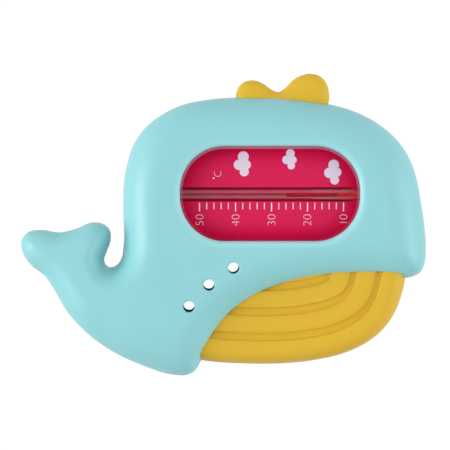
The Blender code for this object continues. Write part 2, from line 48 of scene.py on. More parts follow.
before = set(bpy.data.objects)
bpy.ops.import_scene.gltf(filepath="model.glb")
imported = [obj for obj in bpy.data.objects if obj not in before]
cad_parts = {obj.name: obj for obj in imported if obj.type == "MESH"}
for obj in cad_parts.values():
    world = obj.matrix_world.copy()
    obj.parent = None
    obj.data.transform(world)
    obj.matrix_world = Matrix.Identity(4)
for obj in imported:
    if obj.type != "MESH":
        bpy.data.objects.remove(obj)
cadLow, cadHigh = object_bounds()


def report(stage):
    print(f"{time.time() - startTime:6.1f} s  {stage}")


report("frame loaded")

# The body's sizes, taken from the frame where it has them

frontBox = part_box("front_shell")
bodyLength = frontBox[1].x - frontBox[0].x
bodyHeight = cadHigh.y - cadLow.y
bodyDepth = cadHigh.z - cadLow.z
parting = bodyDepth / 2  # height of the joint between the two shells
middleX = (frontBox[0].x + frontBox[1].x) / 2
middleY = (cadHigh.y + cadLow.y) / 2

body = {
    "depth": bodyDepth,
    "round": 0.0115,  # distance from the edge over which the face turns flat
    "tailDepth": 0.0132,
    "tailTaper": 0.040,
    "tailRound": 0.64,
    "tailRoundEnd": 0.0185,  # from the tail's tip
    "tailRoundFade": 0.0100,
    "wall": 0.002,
    "seam": 0.00012,  # gap between the two shells
    "seamWidth": 0.00015,  # bevel on each side of the gap
    "seamHeight": 0.00025,
    "step": 0.0011,
    "coarseStep": 0.0024,
    "shrink": 0.998,  # keeps the smooth outline inside the frame's box
    "outline": [  # percent of the body's length and height, from its middle
        (-24.7, -7.3), (-24.8, 6.6), (-24.5, 14.9), (-23.7, 20.5), (-22.2, 26.5), (-19.0, 32.5),
        (-15.3, 36.3), (-10.6, 39.4), (-4.7, 41.2), (3.2, 42.1), (13.1, 42.1), (17.5, 41.6), (24.0, 40.4),
        (30.8, 38.2), (37.0, 34.4), (42.5, 28.5), (45.7, 22.5), (47.4, 16.6), (48.6, 8.6),
        (49.6, -0.3), (50.0, -7.9), (49.6, -13.2), (48.6, -15.9),
        (46.6, -17.3), (43.0, -17.9), (36.8, -17.9), (28.8, -18.1), (21.1, -19.4), (14.8, -21.5),
        (8.5, -25.0), (2.5, -30.6), (-0.9, -36.2), (-3.6, -42.0), (-5.7, -45.6),
        (-7.1, -48.6), (-9.1, -49.9), (-12.6, -49.8), (-19.5, -47.0), (-26.2, -43.0), (-32.8, -37.1),
        (-38.5, -29.1), (-42.0, -21.2), (-44.0, -17.2),
        (-47.7, -13.2), (-49.6, -9.3), (-49.9, -5.3), (-48.1, -2.4), (-45.2, -1.8), (-40.2, -2.6),
        (-36.3, -1.3), (-32.3, 0.7), (-29.9, 0.3), (-28.1, -1.7), (-27.8, -4.6), (-28.9, -9.3),
        (-29.5, -11.9), (-28.6, -14.0), (-26.9, -13.9), (-25.3, -11.6)],
}

window = {
    "length": 0.0549,
    "height": 0.0289,
    "corner": 0.0135,
    "lip": 0.0024,  # width of the soft lip round the opening
    "lipDrop": 0.0016,
    "x": 11.3,  # percent of the body's length, from its middle
    "y": 10.2,
    "rings": (-0.25, 0.0, 0.02, 0.06, 0.12, 0.2, 0.32, 0.46, 0.62, 0.8, 1.0, 1.2),  # in the mesh, in lips
    "ringStep": 0.0009,
}

holes = {
    "radius": 0.0017,
    "lip": 0.0006,
    "lipDrop": 0.0005,
    "places": [(-8.5, -26.8), (-3.6, -19.7), (2.4, -14.1)],
    "bossWall": 0.0011,
    "rings": (-0.3, 0.0, 0.06, 0.2, 0.45, 0.75, 1.05),
    "sides": 32,
    "wallLean": 0.3,  # a face of a hole's wall leans less than this
    "wallReach": 1.03,  # and lies within this many radii
}

windowX = middleX + window["x"] * bodyLength / 100
windowY = middleY + window["y"] * bodyHeight / 100
windowCentre = (windowX, windowY)
holePlaces = [(middleX + x * bodyLength / 100, middleY + y * bodyHeight / 100) for x, y in holes["places"]]

# Flat outlines

fineStep = 0.0003
cutPast = 0.002  # how far tools reach past the faces that they cut
cutSlack = 0.00001  # keeps a tool's face off one that is there already
clearShare = 0.995  # a moved point is dropped where it comes nearer to the path than this


def eased(along):
    return along**2 * (3 - 2 * along)


def quarterRound(share):
    return np.sqrt(np.clip(1 - (1 - np.clip(share, 0, 1))**2, 0, 1))


def placed(percentPoints):
    size = np.array([bodyLength, bodyHeight]) * body["shrink"] / 100
    return np.array(percentPoints) * size + (middleX, middleY)


def smoothCurve(points, closed=True):
    # cubic through the points, with tangents weighted by the spans on each side
    if not closed:
        points = np.vstack([2 * points[0] - points[1], points, 2 * points[-1] - points[-2]])
    before, after = np.roll(points, 1, axis=0), np.roll(points, -1, axis=0)
    back = np.linalg.norm(points - before, axis=1)[:, None]
    ahead = np.linalg.norm(after - points, axis=1)[:, None]
    tangent = ((points - before) / back * ahead + (after - points) / ahead * back) / (back + ahead)
    t = np.linspace(0, 1, 24, endpoint=False)[None, :, None]
    pull = tangent * ahead
    pullNext = np.roll(tangent, -1, axis=0) * ahead
    spans = (points[:, None] * (2 * t**3 - 3 * t**2 + 1) + pull[:, None] * (t**3 - 2 * t**2 + t)
             + after[:, None] * (3 * t**2 - 2 * t**3) + pullNext[:, None] * (t**3 - t**2))
    return spans.reshape(-1, 2) if closed else np.vstack([spans[1:-2].reshape(-1, 2), points[-2]])


def evenSteps(path, step, closed=True):
    ring = np.vstack([path, path[:1]]) if closed else path
    lengths = np.linalg.norm(np.diff(ring, axis=0), axis=1)
    along = np.concatenate([[0], np.cumsum(lengths)])
    count = max(6, round(along[-1] / step))
    stops = np.linspace(0, along[-1], count, endpoint=not closed)
    return np.column_stack([np.interp(stops, along, ring[:, axis]) for axis in (0, 1)])


def antiClockwise(loop):
    after = np.roll(loop, -1, axis=0)
    area = np.sum(loop[:, 0] * after[:, 1] - loop[:, 1] * after[:, 0])
    return loop if area > 0 else loop[::-1]


def evenOutline(loop):
    return antiClockwise(evenSteps(loop, fineStep))


def leftNormals(path, closed=True):
    along = np.roll(path, -1, axis=0) - np.roll(path, 1, axis=0) if closed else np.gradient(path, axis=0)
    along = along / np.linalg.norm(along, axis=1)[:, None]
    return np.column_stack([-along[:, 1], along[:, 0]])


def inChunks(work, points, size=400):
    return np.concatenate([work(points[start:start + size]) for start in range(0, len(points), size)])


def distanceTo(path, points, closed=True):
    starts = path if closed else path[:-1]
    spans = (np.roll(path, -1, axis=0) if closed else path[1:]) - starts
    lengths = np.sum(spans * spans, axis=1)

    def work(some):
        offsets = some[:, None] - starts[None]
        share = np.clip(np.sum(offsets * spans, axis=2) / lengths, 0, 1)
        return np.sqrt(np.sum((offsets - share[:, :, None] * spans)**2, axis=2).min(axis=1))

    return inChunks(work, points)


def movedIn(path, distance, closed=True):
    moved = path + leftNormals(path, closed) * distance
    return moved[distanceTo(path, moved, closed) > abs(distance) * clearShare - 1e-9]


def flux(loop, points, power):
    # edge seen from each point: a full circle for power 0, nearness of the edge for higher powers
    after = np.roll(loop, -1, axis=0)
    along = after - loop
    outward = np.column_stack([along[:, 1], -along[:, 0]])
    middles = (loop + after) / 2

    def work(some):
        away = middles[None] - some[:, None]
        return np.sum(np.sum(away * outward, axis=2) / np.sum(away * away, axis=2)**(1 + power / 2), axis=1)

    return inChunks(work, points)


def softDistance(loop, points):
    # distance from the edge, blended smoothly where two edges are equally near
    near = np.maximum(flux(loop, points, 4), 1e-9)
    soft = (3 * math.pi / 8 / near)**0.25
    exact = distanceTo(loop, points)
    return np.where(exact < 4 * fineStep, exact, soft)


def roundedBox(length, height, corner, cornerSteps=24):
    corner = min(corner, height / 2 - 1e-5, length / 2 - 1e-5)
    loop = []
    for quarter in range(4):
        signX = 1 if quarter in (0, 3) else -1
        signY = 1 if quarter < 2 else -1
        for step in range(cornerSteps + 1):
            angle = math.radians(90) * (quarter + step / cornerSteps)
            loop.append((signX * (length / 2 - corner) + corner * math.cos(angle),
                         signY * (height / 2 - corner) + corner * math.sin(angle)))
    return np.array(loop)


def windowLoop(grow):
    # the window's outline, moved out
    return roundedBox(window["length"] + 2 * grow, window["height"] + 2 * grow, window["corner"] + grow) + windowCentre


def windowGap(points):
    # distance past the window's outline, negative inside it
    corner = window["corner"]
    past = np.abs(points - windowCentre) - np.array([window["length"] / 2 - corner, window["height"] / 2 - corner])
    outside = np.linalg.norm(np.maximum(past, 0), axis=1)
    return outside + np.minimum(past.max(axis=1), 0) - corner


def circle(centre, radius, count):
    angles = np.linspace(0, 2 * math.pi, count, endpoint=False)
    return np.column_stack([centre[0] + radius * np.cos(angles), centre[1] + radius * np.sin(angles)])


# Meshes

mergeWithin = 1e-7
sharpFrom = {"piece": 40, "shell": 38, "plate": 35, "round": 50}  # degrees at which an edge stays sharp
dome = {
    "gridStep": 1.6,  # between the inner grid's points, in steps
    "gridGap": 0.8,  # least gap round each of them
    "ringGap": 0.5,  # least gap between points on rings
    "edgeGap": 0.3,  # less towards the edge, as a share of the way there
    "leastGap": 0.03,
    "featureGap": 0.05,
    "edgeClear": 0.002,  # nearest to the edge, as a share of its rounding
    "ringsPerStep": 1.5,
    "fewestRings": 8,
}


def newObject(name, data):
    item = bpy.data.objects.new(name, data)
    bpy.context.scene.collection.objects.link(item)
    return item


def emptyPiece(name):
    return newObject(name, bpy.data.meshes.new(name))


def smooth(item, kind="piece"):
    item.data.shade_smooth()
    item.data.set_sharp_from_angle(angle=math.radians(sharpFrom[kind]))


def written(item, bm):
    # the item's mesh from a bmesh, with doubles merged and faces outward
    bmesh.ops.remove_doubles(bm, verts=bm.verts, dist=mergeWithin)
    bmesh.ops.recalc_face_normals(bm, faces=bm.faces)
    bm.to_mesh(item.data)
    bm.free()


def meshObject(name, bm):
    item = emptyPiece(name)
    written(item, bm)
    smooth(item)
    return item


def evaluatedMesh(item):
    bpy.context.view_layer.update()
    return bpy.data.meshes.new_from_object(item.evaluated_get(bpy.context.evaluated_depsgraph_get()))


def applied(item):
    # the evaluated mesh in place of the modifiers
    old, mesh = item.data, evaluatedMesh(item)
    mesh.name = item.name
    item.modifiers.clear()
    item.data = mesh
    bpy.data.meshes.remove(old)


def cut(item, tools, operation="DIFFERENCE"):
    group = bpy.data.collections.new("tools " + item.name)
    for tool in tools:
        group.objects.link(tool)
    joint = item.modifiers.new("cut", "BOOLEAN")
    joint.operation = operation
    joint.operand_type = "COLLECTION"
    joint.collection = group
    joint.solver = "EXACT"
    applied(item)
    for tool in tools:
        bpy.data.objects.remove(tool, do_unlink=True)
    bpy.data.collections.remove(group)


def ringFaces(bm, lower, upper):
    for corners in zip(lower, lower[1:] + lower[:1], upper[1:] + upper[:1], upper):
        bm.faces.new(corners)


def stacked(name, levels):
    # loft through loops with the same number of points, each at its own height
    bm = bmesh.new()
    rings = [[bm.verts.new((x, y, z)) for x, y in loop] for loop, z in levels]
    for lower, upper in zip(rings, rings[1:]):
        ringFaces(bm, lower, upper)
    bm.faces.new(rings[0][::-1])
    bm.faces.new(rings[-1])
    return meshObject(name, bm)


def uprightRod(name, centre, radius, low, high, sides=32):
    # its ends are filled round their middles
    bm = bmesh.new()
    loop = circle(centre, radius, sides)
    rings = [[bm.verts.new((x, y, z)) for x, y in loop] for z in (low, high)]
    ringFaces(bm, *rings)
    for ring, z in zip(rings, (low, high)):
        middle = bm.verts.new((*centre, z))
        for first, second in zip(ring, ring[1:] + ring[:1]):
            bm.faces.new((middle, first, second))
    return meshObject(name, bm)


def spacedApart(points, least):
    # keeps each point that is far enough from those before it
    cell = float(np.max(least))
    kept, shelf = [], {}
    for place, gap in zip(points, least):
        column, row = int(place[0] // cell), int(place[1] // cell)
        near = (other for dx in (-1, 0, 1) for dy in (-1, 0, 1) for other in shelf.get((column + dx, row + dy), ()))
        if all((place[0] - other[0])**2 + (place[1] - other[1])**2 > gap * gap for other in near):
            kept.append(place)
            shelf.setdefault((column, row), []).append(place)
    return np.array(kept)


def domePoints(outline, edgeRound, step, features=()):
    # rings along the edge and round each feature, then a grid between them
    count = round(len(outline) * fineStep / step)
    picks = np.round(np.linspace(0, len(outline), count, endpoint=False)).astype(int)
    edge, inward = outline[picks], leftNormals(outline)[picks]
    rings = []
    ringCount = max(dome["fewestRings"], round(edgeRound * dome["ringsPerStep"] / step))
    for ring in range(1, ringCount + 1):
        inset = edgeRound * (1 - math.cos(math.radians(90) * ring / ringCount))
        moved = edge + inward * inset
        rings.append(moved[distanceTo(outline, moved) > inset * clearShare])
    low, high = outline.min(axis=0), outline.max(axis=0)
    gridStep = step * dome["gridStep"]
    columns, rows = (np.arange(low[axis], high[axis], gridStep) for axis in (0, 1))
    grid = np.array([(x, y) for x in columns for y in rows])
    inner = np.vstack([*features, *rings, grid])
    inner = inner[flux(outline, inner, 0) > math.pi]
    room = distanceTo(outline, inner)
    least = np.minimum(step * dome["ringGap"], np.maximum(room * dome["edgeGap"], step * dome["leastGap"]))
    least[:sum(len(item) for item in features)] = step * dome["featureGap"]
    least[-len(grid):] = step * dome["gridGap"]
    clear = room > edgeRound * dome["edgeClear"]
    return edge, spacedApart(inner[clear], least[clear])


def alongTail(x, start, reach, least):
    # from its least value at the tail's tip to 1
    along = np.clip((x - (middleX - bodyLength / 2) - start) / reach, 0, 1)
    return least + (1 - least) * eased(along)


def domeHeights(outline, points, halfDepth, edgeRound):
    # a quarter ellipse in from the edge, thinner and tighter on the tail
    thinner = alongTail(points[:, 0], 0, body["tailTaper"], body["tailDepth"] / bodyDepth)
    tighter = alongTail(points[:, 0], body["tailRoundEnd"], body["tailRoundFade"], body["tailRound"])
    return halfDepth * quarterRound(softDistance(outline, points) / (edgeRound * tighter)) * thinner


def skirt(bm, rim, place):
    # a band of faces on from the rim, with its new points where the function puts them
    band = bmesh.ops.extrude_edge_only(bm, edges=rim)["geom"]
    for item in band:
        if isinstance(item, bmesh.types.BMVert):
            item.co = place(item.co)
    return [item for item in band if isinstance(item, bmesh.types.BMEdge) and item.is_boundary]


def domeMesh(name, outline, form, side, features=(), sink=None, cutter=False):
    # a solid on the parting plane whose top rises from the outline; side 0 makes both halves, and a cutter
    # is grown by its gap and reaches past the plane
    edge, inner = domePoints(outline, form["round"], form["step"], features)
    points = np.vstack([edge, inner])
    top = domeHeights(outline, points, form["depth"] / 2, form["round"])
    if sink:
        top = top - sink(points)
    bevel = form["seamHeight"] if side and not cutter else 0
    top[:len(edge)] = (body["seam"] / 2 if side else 0) + bevel
    corners, _, faces, *_ = delaunay_2d_cdt([tuple(p) for p in points], [], [list(range(len(edge)))], 1, 1e-8)
    bm = bmesh.new()
    for mirror in ((side,) if side else (1, -1)):
        verts = [bm.verts.new((p.x, p.y, mirror * z)) for p, z in zip(corners, top)]
        for face in faces:
            picked = [verts[index] for index in face]
            bm.faces.new(picked if mirror > 0 else picked[::-1])
    if cutter and "gap" in form:
        swell(bm, form["gap"] * side)
    if side:
        rim = [item for item in bm.edges if item.is_boundary]
        inward = {(round(x, 6), round(y, 6)): way for (x, y), way in zip(edge, leftNormals(edge))}

        def bevelled(co):
            x, y = inward[(round(co.x, 6), round(co.y, 6))] * form["seamWidth"]
            return co + Vector((x, y, -side * bevel))

        rim = skirt(bm, rim, (lambda co: (co.x, co.y, -side * cutPast)) if cutter else bevelled)
        bmesh.ops.edgeloop_fill(bm, edges=rim)
    bmesh.ops.translate(bm, verts=bm.verts, vec=(0, 0, parting))
    return meshObject(name, bm)


def swell(bm, amount):
    # moves the dome out along its normals, its rim only sideways
    bm.normal_update()
    moves = []
    for vert in bm.verts:
        direction = vert.normal.copy()
        if vert.is_boundary:
            direction.z = 0
            direction.normalize()
        moves.append(direction * amount)
    for vert, move in zip(bm.verts, moves):
        vert.co += move


# Node trees

def feed(tree, node, values):
    # each input, by its name or number, gets a value or a socket that it follows
    for label, value in values.items():
        if isinstance(value, bpy.types.NodeSocket):
            tree.links.new(value, node.inputs[label])
        else:
            node.inputs[label].default_value = value


def addNode(tree, kind, values=None, **settings):
    # a new node with its settings and inputs; gives its outputs
    node = tree.nodes.new(kind)
    for label, value in settings.items():
        setattr(node, label, value)
    feed(tree, node, values or {})
    return node.outputs


def maths(tree, operation, *values):
    return addNode(tree, "ShaderNodeMath", dict(enumerate(values)), operation=operation)[0]


def separated(tree, vector):
    return addNode(tree, "ShaderNodeSeparateXYZ", {0: vector})


def combined(tree, x=0.0, y=0.0, z=0.0):
    return addNode(tree, "ShaderNodeCombineXYZ", {0: x, 1: y, 2: z})[0]


def softStep(tree, value, low, high, fromValue=0.0, toValue=1.0):
    ends = {"Value": value, "From Min": low, "From Max": high, "To Min": fromValue, "To Max": toValue}
    return addNode(tree, "ShaderNodeMapRange", ends, interpolation_type="SMOOTHSTEP")["Result"]


def fromScreen(red, green, blue):
    return tuple(((part / 255 + 0.055) / 1.055)**2.4 for part in (red, green, blue)) + (1,)


def blended(tree, share, *colours):
    # mixed from two colours, each a screen colour of three parts, a plain one of four, or a socket
    first, second = (fromScreen(*colour) if isinstance(colour, tuple) and len(colour) == 3 else colour
                     for colour in colours)
    return addNode(tree, "ShaderNodeMix", {"Factor": share, 6: first, 7: second}, data_type="RGBA")[2]


def groupTree(kind, name, inputs, outputs):
    # a node group; inputs and outputs give the names of its sockets for each kind of socket
    tree = bpy.data.node_groups.new(name, kind + "NodeTree")
    for way, sockets in (("INPUT", inputs), ("OUTPUT", outputs)):
        for socketKind, labels in sockets.items():
            for label in labels.split(", "):
                tree.interface.new_socket(name=label, in_out=way, socket_type="NodeSocket" + socketKind)
    return tree, tree.nodes.new("NodeGroupInput").outputs, tree.nodes.new("NodeGroupOutput")


def geometryTree(name, inputs):
    return groupTree("Geometry", name, {"Geometry": "Geometry", **inputs, "Material": "Material"},
                     {"Geometry": "Geometry"})


def closeTree(tree, geometry, material, result):
    real = addNode(tree, "GeometryNodeRealizeInstances", {"Geometry": geometry})
    painted = addNode(tree, "GeometryNodeSetMaterial", {"Geometry": real["Geometry"], "Material": material})
    feed(tree, result, {"Geometry": painted["Geometry"]})
    return tree


def grown(item, tree, values):
    # runs a geometry tree on the piece and keeps its result as a plain mesh
    growth = item.modifiers.new(tree.name, "NODES")
    growth.node_group = tree
    for socket in tree.interface.items_tree:
        if socket.in_out == "INPUT" and socket.name in values:
            growth[socket.identifier] = values[socket.name]
    applied(item)


# Materials

def newMaterial(name):
    surface = bpy.data.materials.new(name)
    surface.use_nodes = True
    tree = surface.node_tree
    return surface, tree, tree.nodes["Principled BSDF"]


def objectPosition(tree, centre=(0, 0, 0)):
    place = addNode(tree, "ShaderNodeTexCoord")["Object"]
    return addNode(tree, "ShaderNodeMapping", {"Vector": place, "Location": tuple(-part for part in centre)})["Vector"]


def noise(tree, position, scale, detail=2):
    return addNode(tree, "ShaderNodeTexNoise", {"Vector": position, "Scale": scale, "Detail": detail})["Fac"]


def buildMouldedGrain():
    # fine satin grain, and slow shifts of tone and gloss as on moulded plastic
    tree, given, result = groupTree("Shader", "mouldedGrain", {
        "Vector": "Position", "Color": "Colour",
        "Float": "Grain Scale, Tone Scale, Tone Shift, Roughness, Roughness Shift"},
        {"Color": "Colour", "Float": "Roughness, Height"})
    grain = noise(tree, given["Position"], given["Grain Scale"])
    tone = maths(tree, "SUBTRACT", noise(tree, given["Position"], given["Tone Scale"], 3), 0.5)
    speckle = maths(tree, "MULTIPLY", maths(tree, "SUBTRACT", grain, 0.5), 0.5)
    value = maths(tree, "MULTIPLY_ADD", maths(tree, "ADD", tone, speckle), given["Tone Shift"], 1.0)
    tint = addNode(tree, "ShaderNodeHueSaturation", {"Color": given["Colour"], "Value": value})
    gloss = maths(tree, "MULTIPLY_ADD", tone, given["Roughness Shift"], given["Roughness"])
    feed(tree, result, {"Colour": tint["Color"], "Roughness": gloss, "Height": grain})
    return tree


def buildWindowEdge():
    # 1 on the window's rounded outline and outside it, falling to 0 at a given reach inside
    tree, given, result = groupTree("Shader", "windowEdge", {
        "Vector": "Position, Half Size", "Float": "Corner, Reach"}, {"Float": "Edge"})
    place, sizes = separated(tree, given["Position"]), separated(tree, given["Half Size"])
    past = []
    for axis in (0, 1):
        inner = maths(tree, "SUBTRACT", sizes[axis], given["Corner"])
        past.append(maths(tree, "SUBTRACT", maths(tree, "ABSOLUTE", place[axis]), inner))
    squares = [maths(tree, "POWER", maths(tree, "MAXIMUM", side, 0.0), 2.0) for side in past]
    outside = maths(tree, "SQRT", maths(tree, "ADD", *squares))
    inside = maths(tree, "MINIMUM", maths(tree, "MAXIMUM", *past), 0.0)
    depth = maths(tree, "SUBTRACT", given["Corner"], maths(tree, "ADD", outside, inside))
    feed(tree, result, {"Edge": softStep(tree, depth, 0.0, given["Reach"], 1.0, 0.0)})
    return tree


mouldedGrain = buildMouldedGrain()
windowEdge = buildWindowEdge()


def mouldedPlastic(name, look, shade=None):
    surface, tree, shader = newMaterial(name)
    grain = addNode(tree, "ShaderNodeGroup", {
        "Position": objectPosition(tree), "Colour": shade(tree) if shade else fromScreen(*look["colour"]),
        "Grain Scale": look["grainScale"], "Tone Scale": look["toneScale"], "Tone Shift": look["toneShift"],
        "Roughness": look["roughness"], "Roughness Shift": look["roughnessShift"]}, node_tree=mouldedGrain)
    bump = addNode(tree, "ShaderNodeBump", {
        "Strength": look["bump"], "Distance": look["bumpDepth"], "Height": grain["Height"]})
    feed(tree, shader, {"Base Color": grain["Colour"], "Roughness": grain["Roughness"], "Normal": bump["Normal"],
                        "Specular IOR Level": look["specular"]})
    return surface


def nearEdge(tree, grow, reach):
    return addNode(tree, "ShaderNodeGroup", {
        "Position": objectPosition(tree, (*windowCentre, 0)),
        "Half Size": (window["length"] / 2 + grow, window["height"] / 2 + grow, 0),
        "Corner": window["corner"] + grow, "Reach": reach}, node_tree=windowEdge)["Edge"]


turquoiseLook = {
    "colour": (142, 208, 213),
    # the lip colour is a painted highlight round the window
    "lipHighlightColour": (160, 221, 225),
    "lipHighlightBand": (0.0028, 0.0022),  # outward reach and width of the paler lip, a painted highlight
    "grainScale": 6000.0,
    "toneScale": 30.0,
    "toneShift": 0.03,
    "roughness": 0.42,
    "roughnessShift": 0.08,
    "bump": 0.06,
    "bumpDepth": 0.00004,
    "specular": 0.5,
}
# painted shade for the walls inside the holes
boreShadeLook = dict(turquoiseLook, colour=(10, 150, 160), roughness=0.9, specular=0.0)
# the groove colour is painted shade in the belly's grooves
yellowLook = dict(turquoiseLook, colour=(222, 180, 46), grooveShadeColour=(219, 175, 40), toneScale=40.0, roughness=0.45,
                  specular=0.3)
# painted shade darkens the plate towards the window's edge, and painted light brightens the deep channel
redLook = dict(turquoiseLook, colour=(219, 38, 87), paintedEdgeColour=(204, 0, 66), paintedEdgeReach=0.0070,
               channelLightColour=(255, 24, 100), channelLightBelow=(-0.0062, -0.0054), grainScale=7000.0, toneScale=60.0,
               toneShift=0.06, roughness=0.5, roughnessShift=0.06, bump=0.08, bumpDepth=0.00003, specular=0.02)
printLook = dict(turquoiseLook, colour=(255, 234, 245), grainScale=9000.0, toneScale=300.0, toneShift=0.05,
                 roughness=0.55, roughnessShift=0.05, bump=0.05, bumpDepth=0.00002, specular=0.1)
cloudLook = dict(printLook, colour=(231, 215, 235))
spiritLook = dict(turquoiseLook, colour=(240, 0, 28), grainScale=300.0, toneScale=40.0, toneShift=0.05,
                  roughness=0.2, roughnessShift=0.04, bump=0.01, bumpDepth=0.00001, specular=0.1)


def yellowShade(tree):
    # painted shade: a little darker in the belly's grooves
    sunk = addNode(tree, "ShaderNodeAttribute", attribute_name="grooveDepth")["Fac"]
    return blended(tree, sunk, yellowLook["colour"], yellowLook["grooveShadeColour"])


def redEdgeShadeChannelLight(tree):
    # painted shade inside the window's edge, and painted light deep in the channel to offset its shade
    shade = blended(tree, nearEdge(tree, 0.0, redLook["paintedEdgeReach"]), redLook["colour"], redLook["paintedEdgeColour"])
    height = separated(tree, objectPosition(tree, (0, 0, bodyDepth)))[2]
    return blended(tree, softStep(tree, height, *redLook["channelLightBelow"], 1.0, 0.0), shade, redLook["channelLightColour"])


def turquoiseLipHighlight(tree):
    # painted highlight: paler on the lip round the window, on the front only
    edge = nearEdge(tree, *turquoiseLook["lipHighlightBand"])
    height = separated(tree, objectPosition(tree, (0, 0, parting)))[2]
    share = maths(tree, "MULTIPLY", maths(tree, "SUBTRACT", 1.0, edge), maths(tree, "GREATER_THAN", height, 0.0))
    return blended(tree, share, turquoiseLook["colour"], turquoiseLook["lipHighlightColour"])


turquoise = mouldedPlastic("turquoiseMoulding", turquoiseLook, turquoiseLipHighlight)
boreWall = mouldedPlastic("boreWall", boreShadeLook)
yellow = mouldedPlastic("yellowMoulding", yellowLook)
groovedYellow = mouldedPlastic("groovedYellowMoulding", yellowLook, yellowShade)
redPlate = mouldedPlastic("redPlate", redLook, redEdgeShadeChannelLight)
palePrint = mouldedPlastic("palePrint", printLook)
cloudPrint = mouldedPlastic("cloudPrint", cloudLook)
spirit = mouldedPlastic("redSpirit", spiritLook)


def finishPiece(item, material, slotName, *replaced):
    item.data.materials.clear()
    item.data.materials.append(material)
    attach(item, "root")
    if replaced:
        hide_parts(*replaced)


report("materials built")

# Shells

shellOutline = evenOutline(smoothCurve(placed(body["outline"])))

belly = {
    "depth": 0.0140,
    "round": 0.0040,
    "wall": 0.0016,
    "step": 0.0010,
    "gap": 0.00015,
    "seamWidth": 0.00010,
    "seamHeight": 0.00020,
    "edge": [(-4.9, -45.1), (-2.7, -45.5), (3.0, -46.0), (11.0, -46.2), (17.5, -45.8), (22.7, -44.9),
             (29.0, -43.0), (34.4, -39.9), (39.1, -35.2), (42.4, -28.9), (44.0, -23.2), (44.8, -18.2)],
    "root": [(44.6, -14.2), (43.2, -10.8), (39.5, -9.0), (33.8, -8.5), (27.7, -8.8), (20.2, -10.1),
             (13.1, -12.9), (6.7, -17.5), (1.2, -23.5), (-4.3, -30.0), (-7.7, -36.0), (-9.4, -40.6),
             (-8.3, -43.9)],
    "grooveStart": 0.0073,  # first groove, in from the visible edge
    "groovePitch": 0.0077,
    "grooveWidth": 0.0024,
    "grooveDepth": 0.00065,
    "grooveSoft": 0.00035,  # width over which a groove's side falls
    "grooveCount": 3,
    "grooveRunOn": 0.0150,  # groove's line past the ends of the visible edge
    "grooveRings": (-0.55, -0.35, -0.15, 0.15, 0.35, 0.55),  # in the mesh, in widths of a groove's side
    "ringStep": 0.0008,
}
bellyOutline = evenOutline(smoothCurve(placed(belly["edge"] + belly["root"])))

spout = {
    "depth": 0.0066,
    "round": 0.0045,
    "step": 0.0006,
    "gap": 0.00015,
    "outline": [(3.1, 41.4), (3.3, 44.4), (4.9, 47.1), (7.2, 47.8), (9.8, 46.7), (12.0, 44.6), (13.5, 43.9),
                (14.9, 44.9), (17.0, 47.7), (19.2, 49.4), (21.4, 50.0), (23.6, 49.3), (25.2, 47.3),
                (26.0, 44.2), (25.8, 39.8), (24.2, 37.2), (19.0, 36.2), (10.0, 36.5), (5.0, 37.6)],
}
spoutOutline = evenOutline(smoothCurve(placed(spout["outline"])))


def lipDepth(gap, width, drop):
    return drop * (1 - quarterRound(gap / width))


def holeSink(points):
    sunk = np.zeros(len(points))
    for place in holePlaces:
        gap = np.linalg.norm(points - np.array(place), axis=1) - holes["radius"]
        sunk = np.maximum(sunk, lipDepth(gap, holes["lip"], holes["lipDrop"]))
    return sunk


def frontSink(points):
    return np.maximum(lipDepth(windowGap(points), window["lip"], window["lipDrop"]), holeSink(points))


def holeTools(side):
    # the tubes round the holes, and the bores through them
    tubes, bores = [], []
    wallMiddle = parting + side * (parting - body["wall"] / 2)
    for number, place in enumerate(holePlaces):
        tubes.append(uprightRod(f"tube{number}", place, holes["radius"] + holes["bossWall"],
                                *sorted((parting + side * body["seam"] / 2, wallMiddle))))
        bores.append(uprightRod(f"bore{number}", place, holes["radius"] + cutSlack,
                                *sorted((parting - side * cutPast, parting + side * (parting + cutPast)))))
    return tubes, bores


def darkenBores(item):
    # painted shade: the holes' walls get a darker, matt teal for the shade inside the holes
    item.data.materials.append(boreWall)
    reach = holes["radius"] * holes["wallReach"]
    for face in item.data.polygons:
        near = any(math.dist(face.center[:2], place) < reach for place in holePlaces)
        if near and abs(face.normal.z) < holes["wallLean"]:
            face.material_index = 1


def hollowOut(item, outline, form, side):
    # the same form, moved in by its wall, is taken away
    wall = form["wall"]
    smaller = {"depth": form["depth"] - 2 * wall, "round": form["round"] - wall, "step": body["coarseStep"]}
    cut(item, [domeMesh("hollow", evenOutline(movedIn(outline, wall)), smaller, side, cutter=True)])


def makeShell(name, side, node):
    rings = [circle(place, holes["radius"] + share * holes["lip"], holes["sides"])
             for place in holePlaces for share in holes["rings"]]
    if side > 0:
        rings += [evenSteps(windowLoop(share * window["lip"]), window["ringStep"]) for share in window["rings"]]
    item = domeMesh(name, shellOutline, body, side, rings, frontSink if side > 0 else holeSink)
    hollowOut(item, shellOutline, body, side)
    tubes, tools = holeTools(side)
    cut(item, tubes, "UNION")
    tools = [domeMesh("bellyRoom", bellyOutline, belly, side, cutter=True),
             domeMesh("spoutRoom", spoutOutline, spout, side, cutter=True), *tools]
    if side > 0:
        opening = roundedBox(window["length"] + 2 * cutSlack, window["height"] + 2 * cutSlack, window["corner"])
        opening = opening + windowCentre
        low, high = bodyDepth - body["wall"] - cutPast, bodyDepth + cutPast
        tools.append(stacked("opening", [(opening, low), (opening, high)]))
    cut(item, tools)
    smooth(item, "shell")
    weigh = item.modifiers.new("weighted normals", "WEIGHTED_NORMAL")
    weigh.keep_sharp = True
    applied(item)
    finishPiece(item, turquoise, "turquoise_moulding", node)
    darkenBores(item)


makeShell("shellFront", 1, "front_shell")
report("front shell")
makeShell("shellRear", -1, "rear_shell")
report("rear shell")

# Belly


def runOn(last, before):
    away = last - before
    return last + away / np.linalg.norm(away) * belly["grooveRunOn"]


bellyEdge = placed(belly["edge"])
bellyPath = np.vstack([runOn(bellyEdge[0], bellyEdge[1]), bellyEdge, runOn(bellyEdge[-1], bellyEdge[-2])])
bellyPath = evenSteps(smoothCurve(bellyPath, False), fineStep, False)


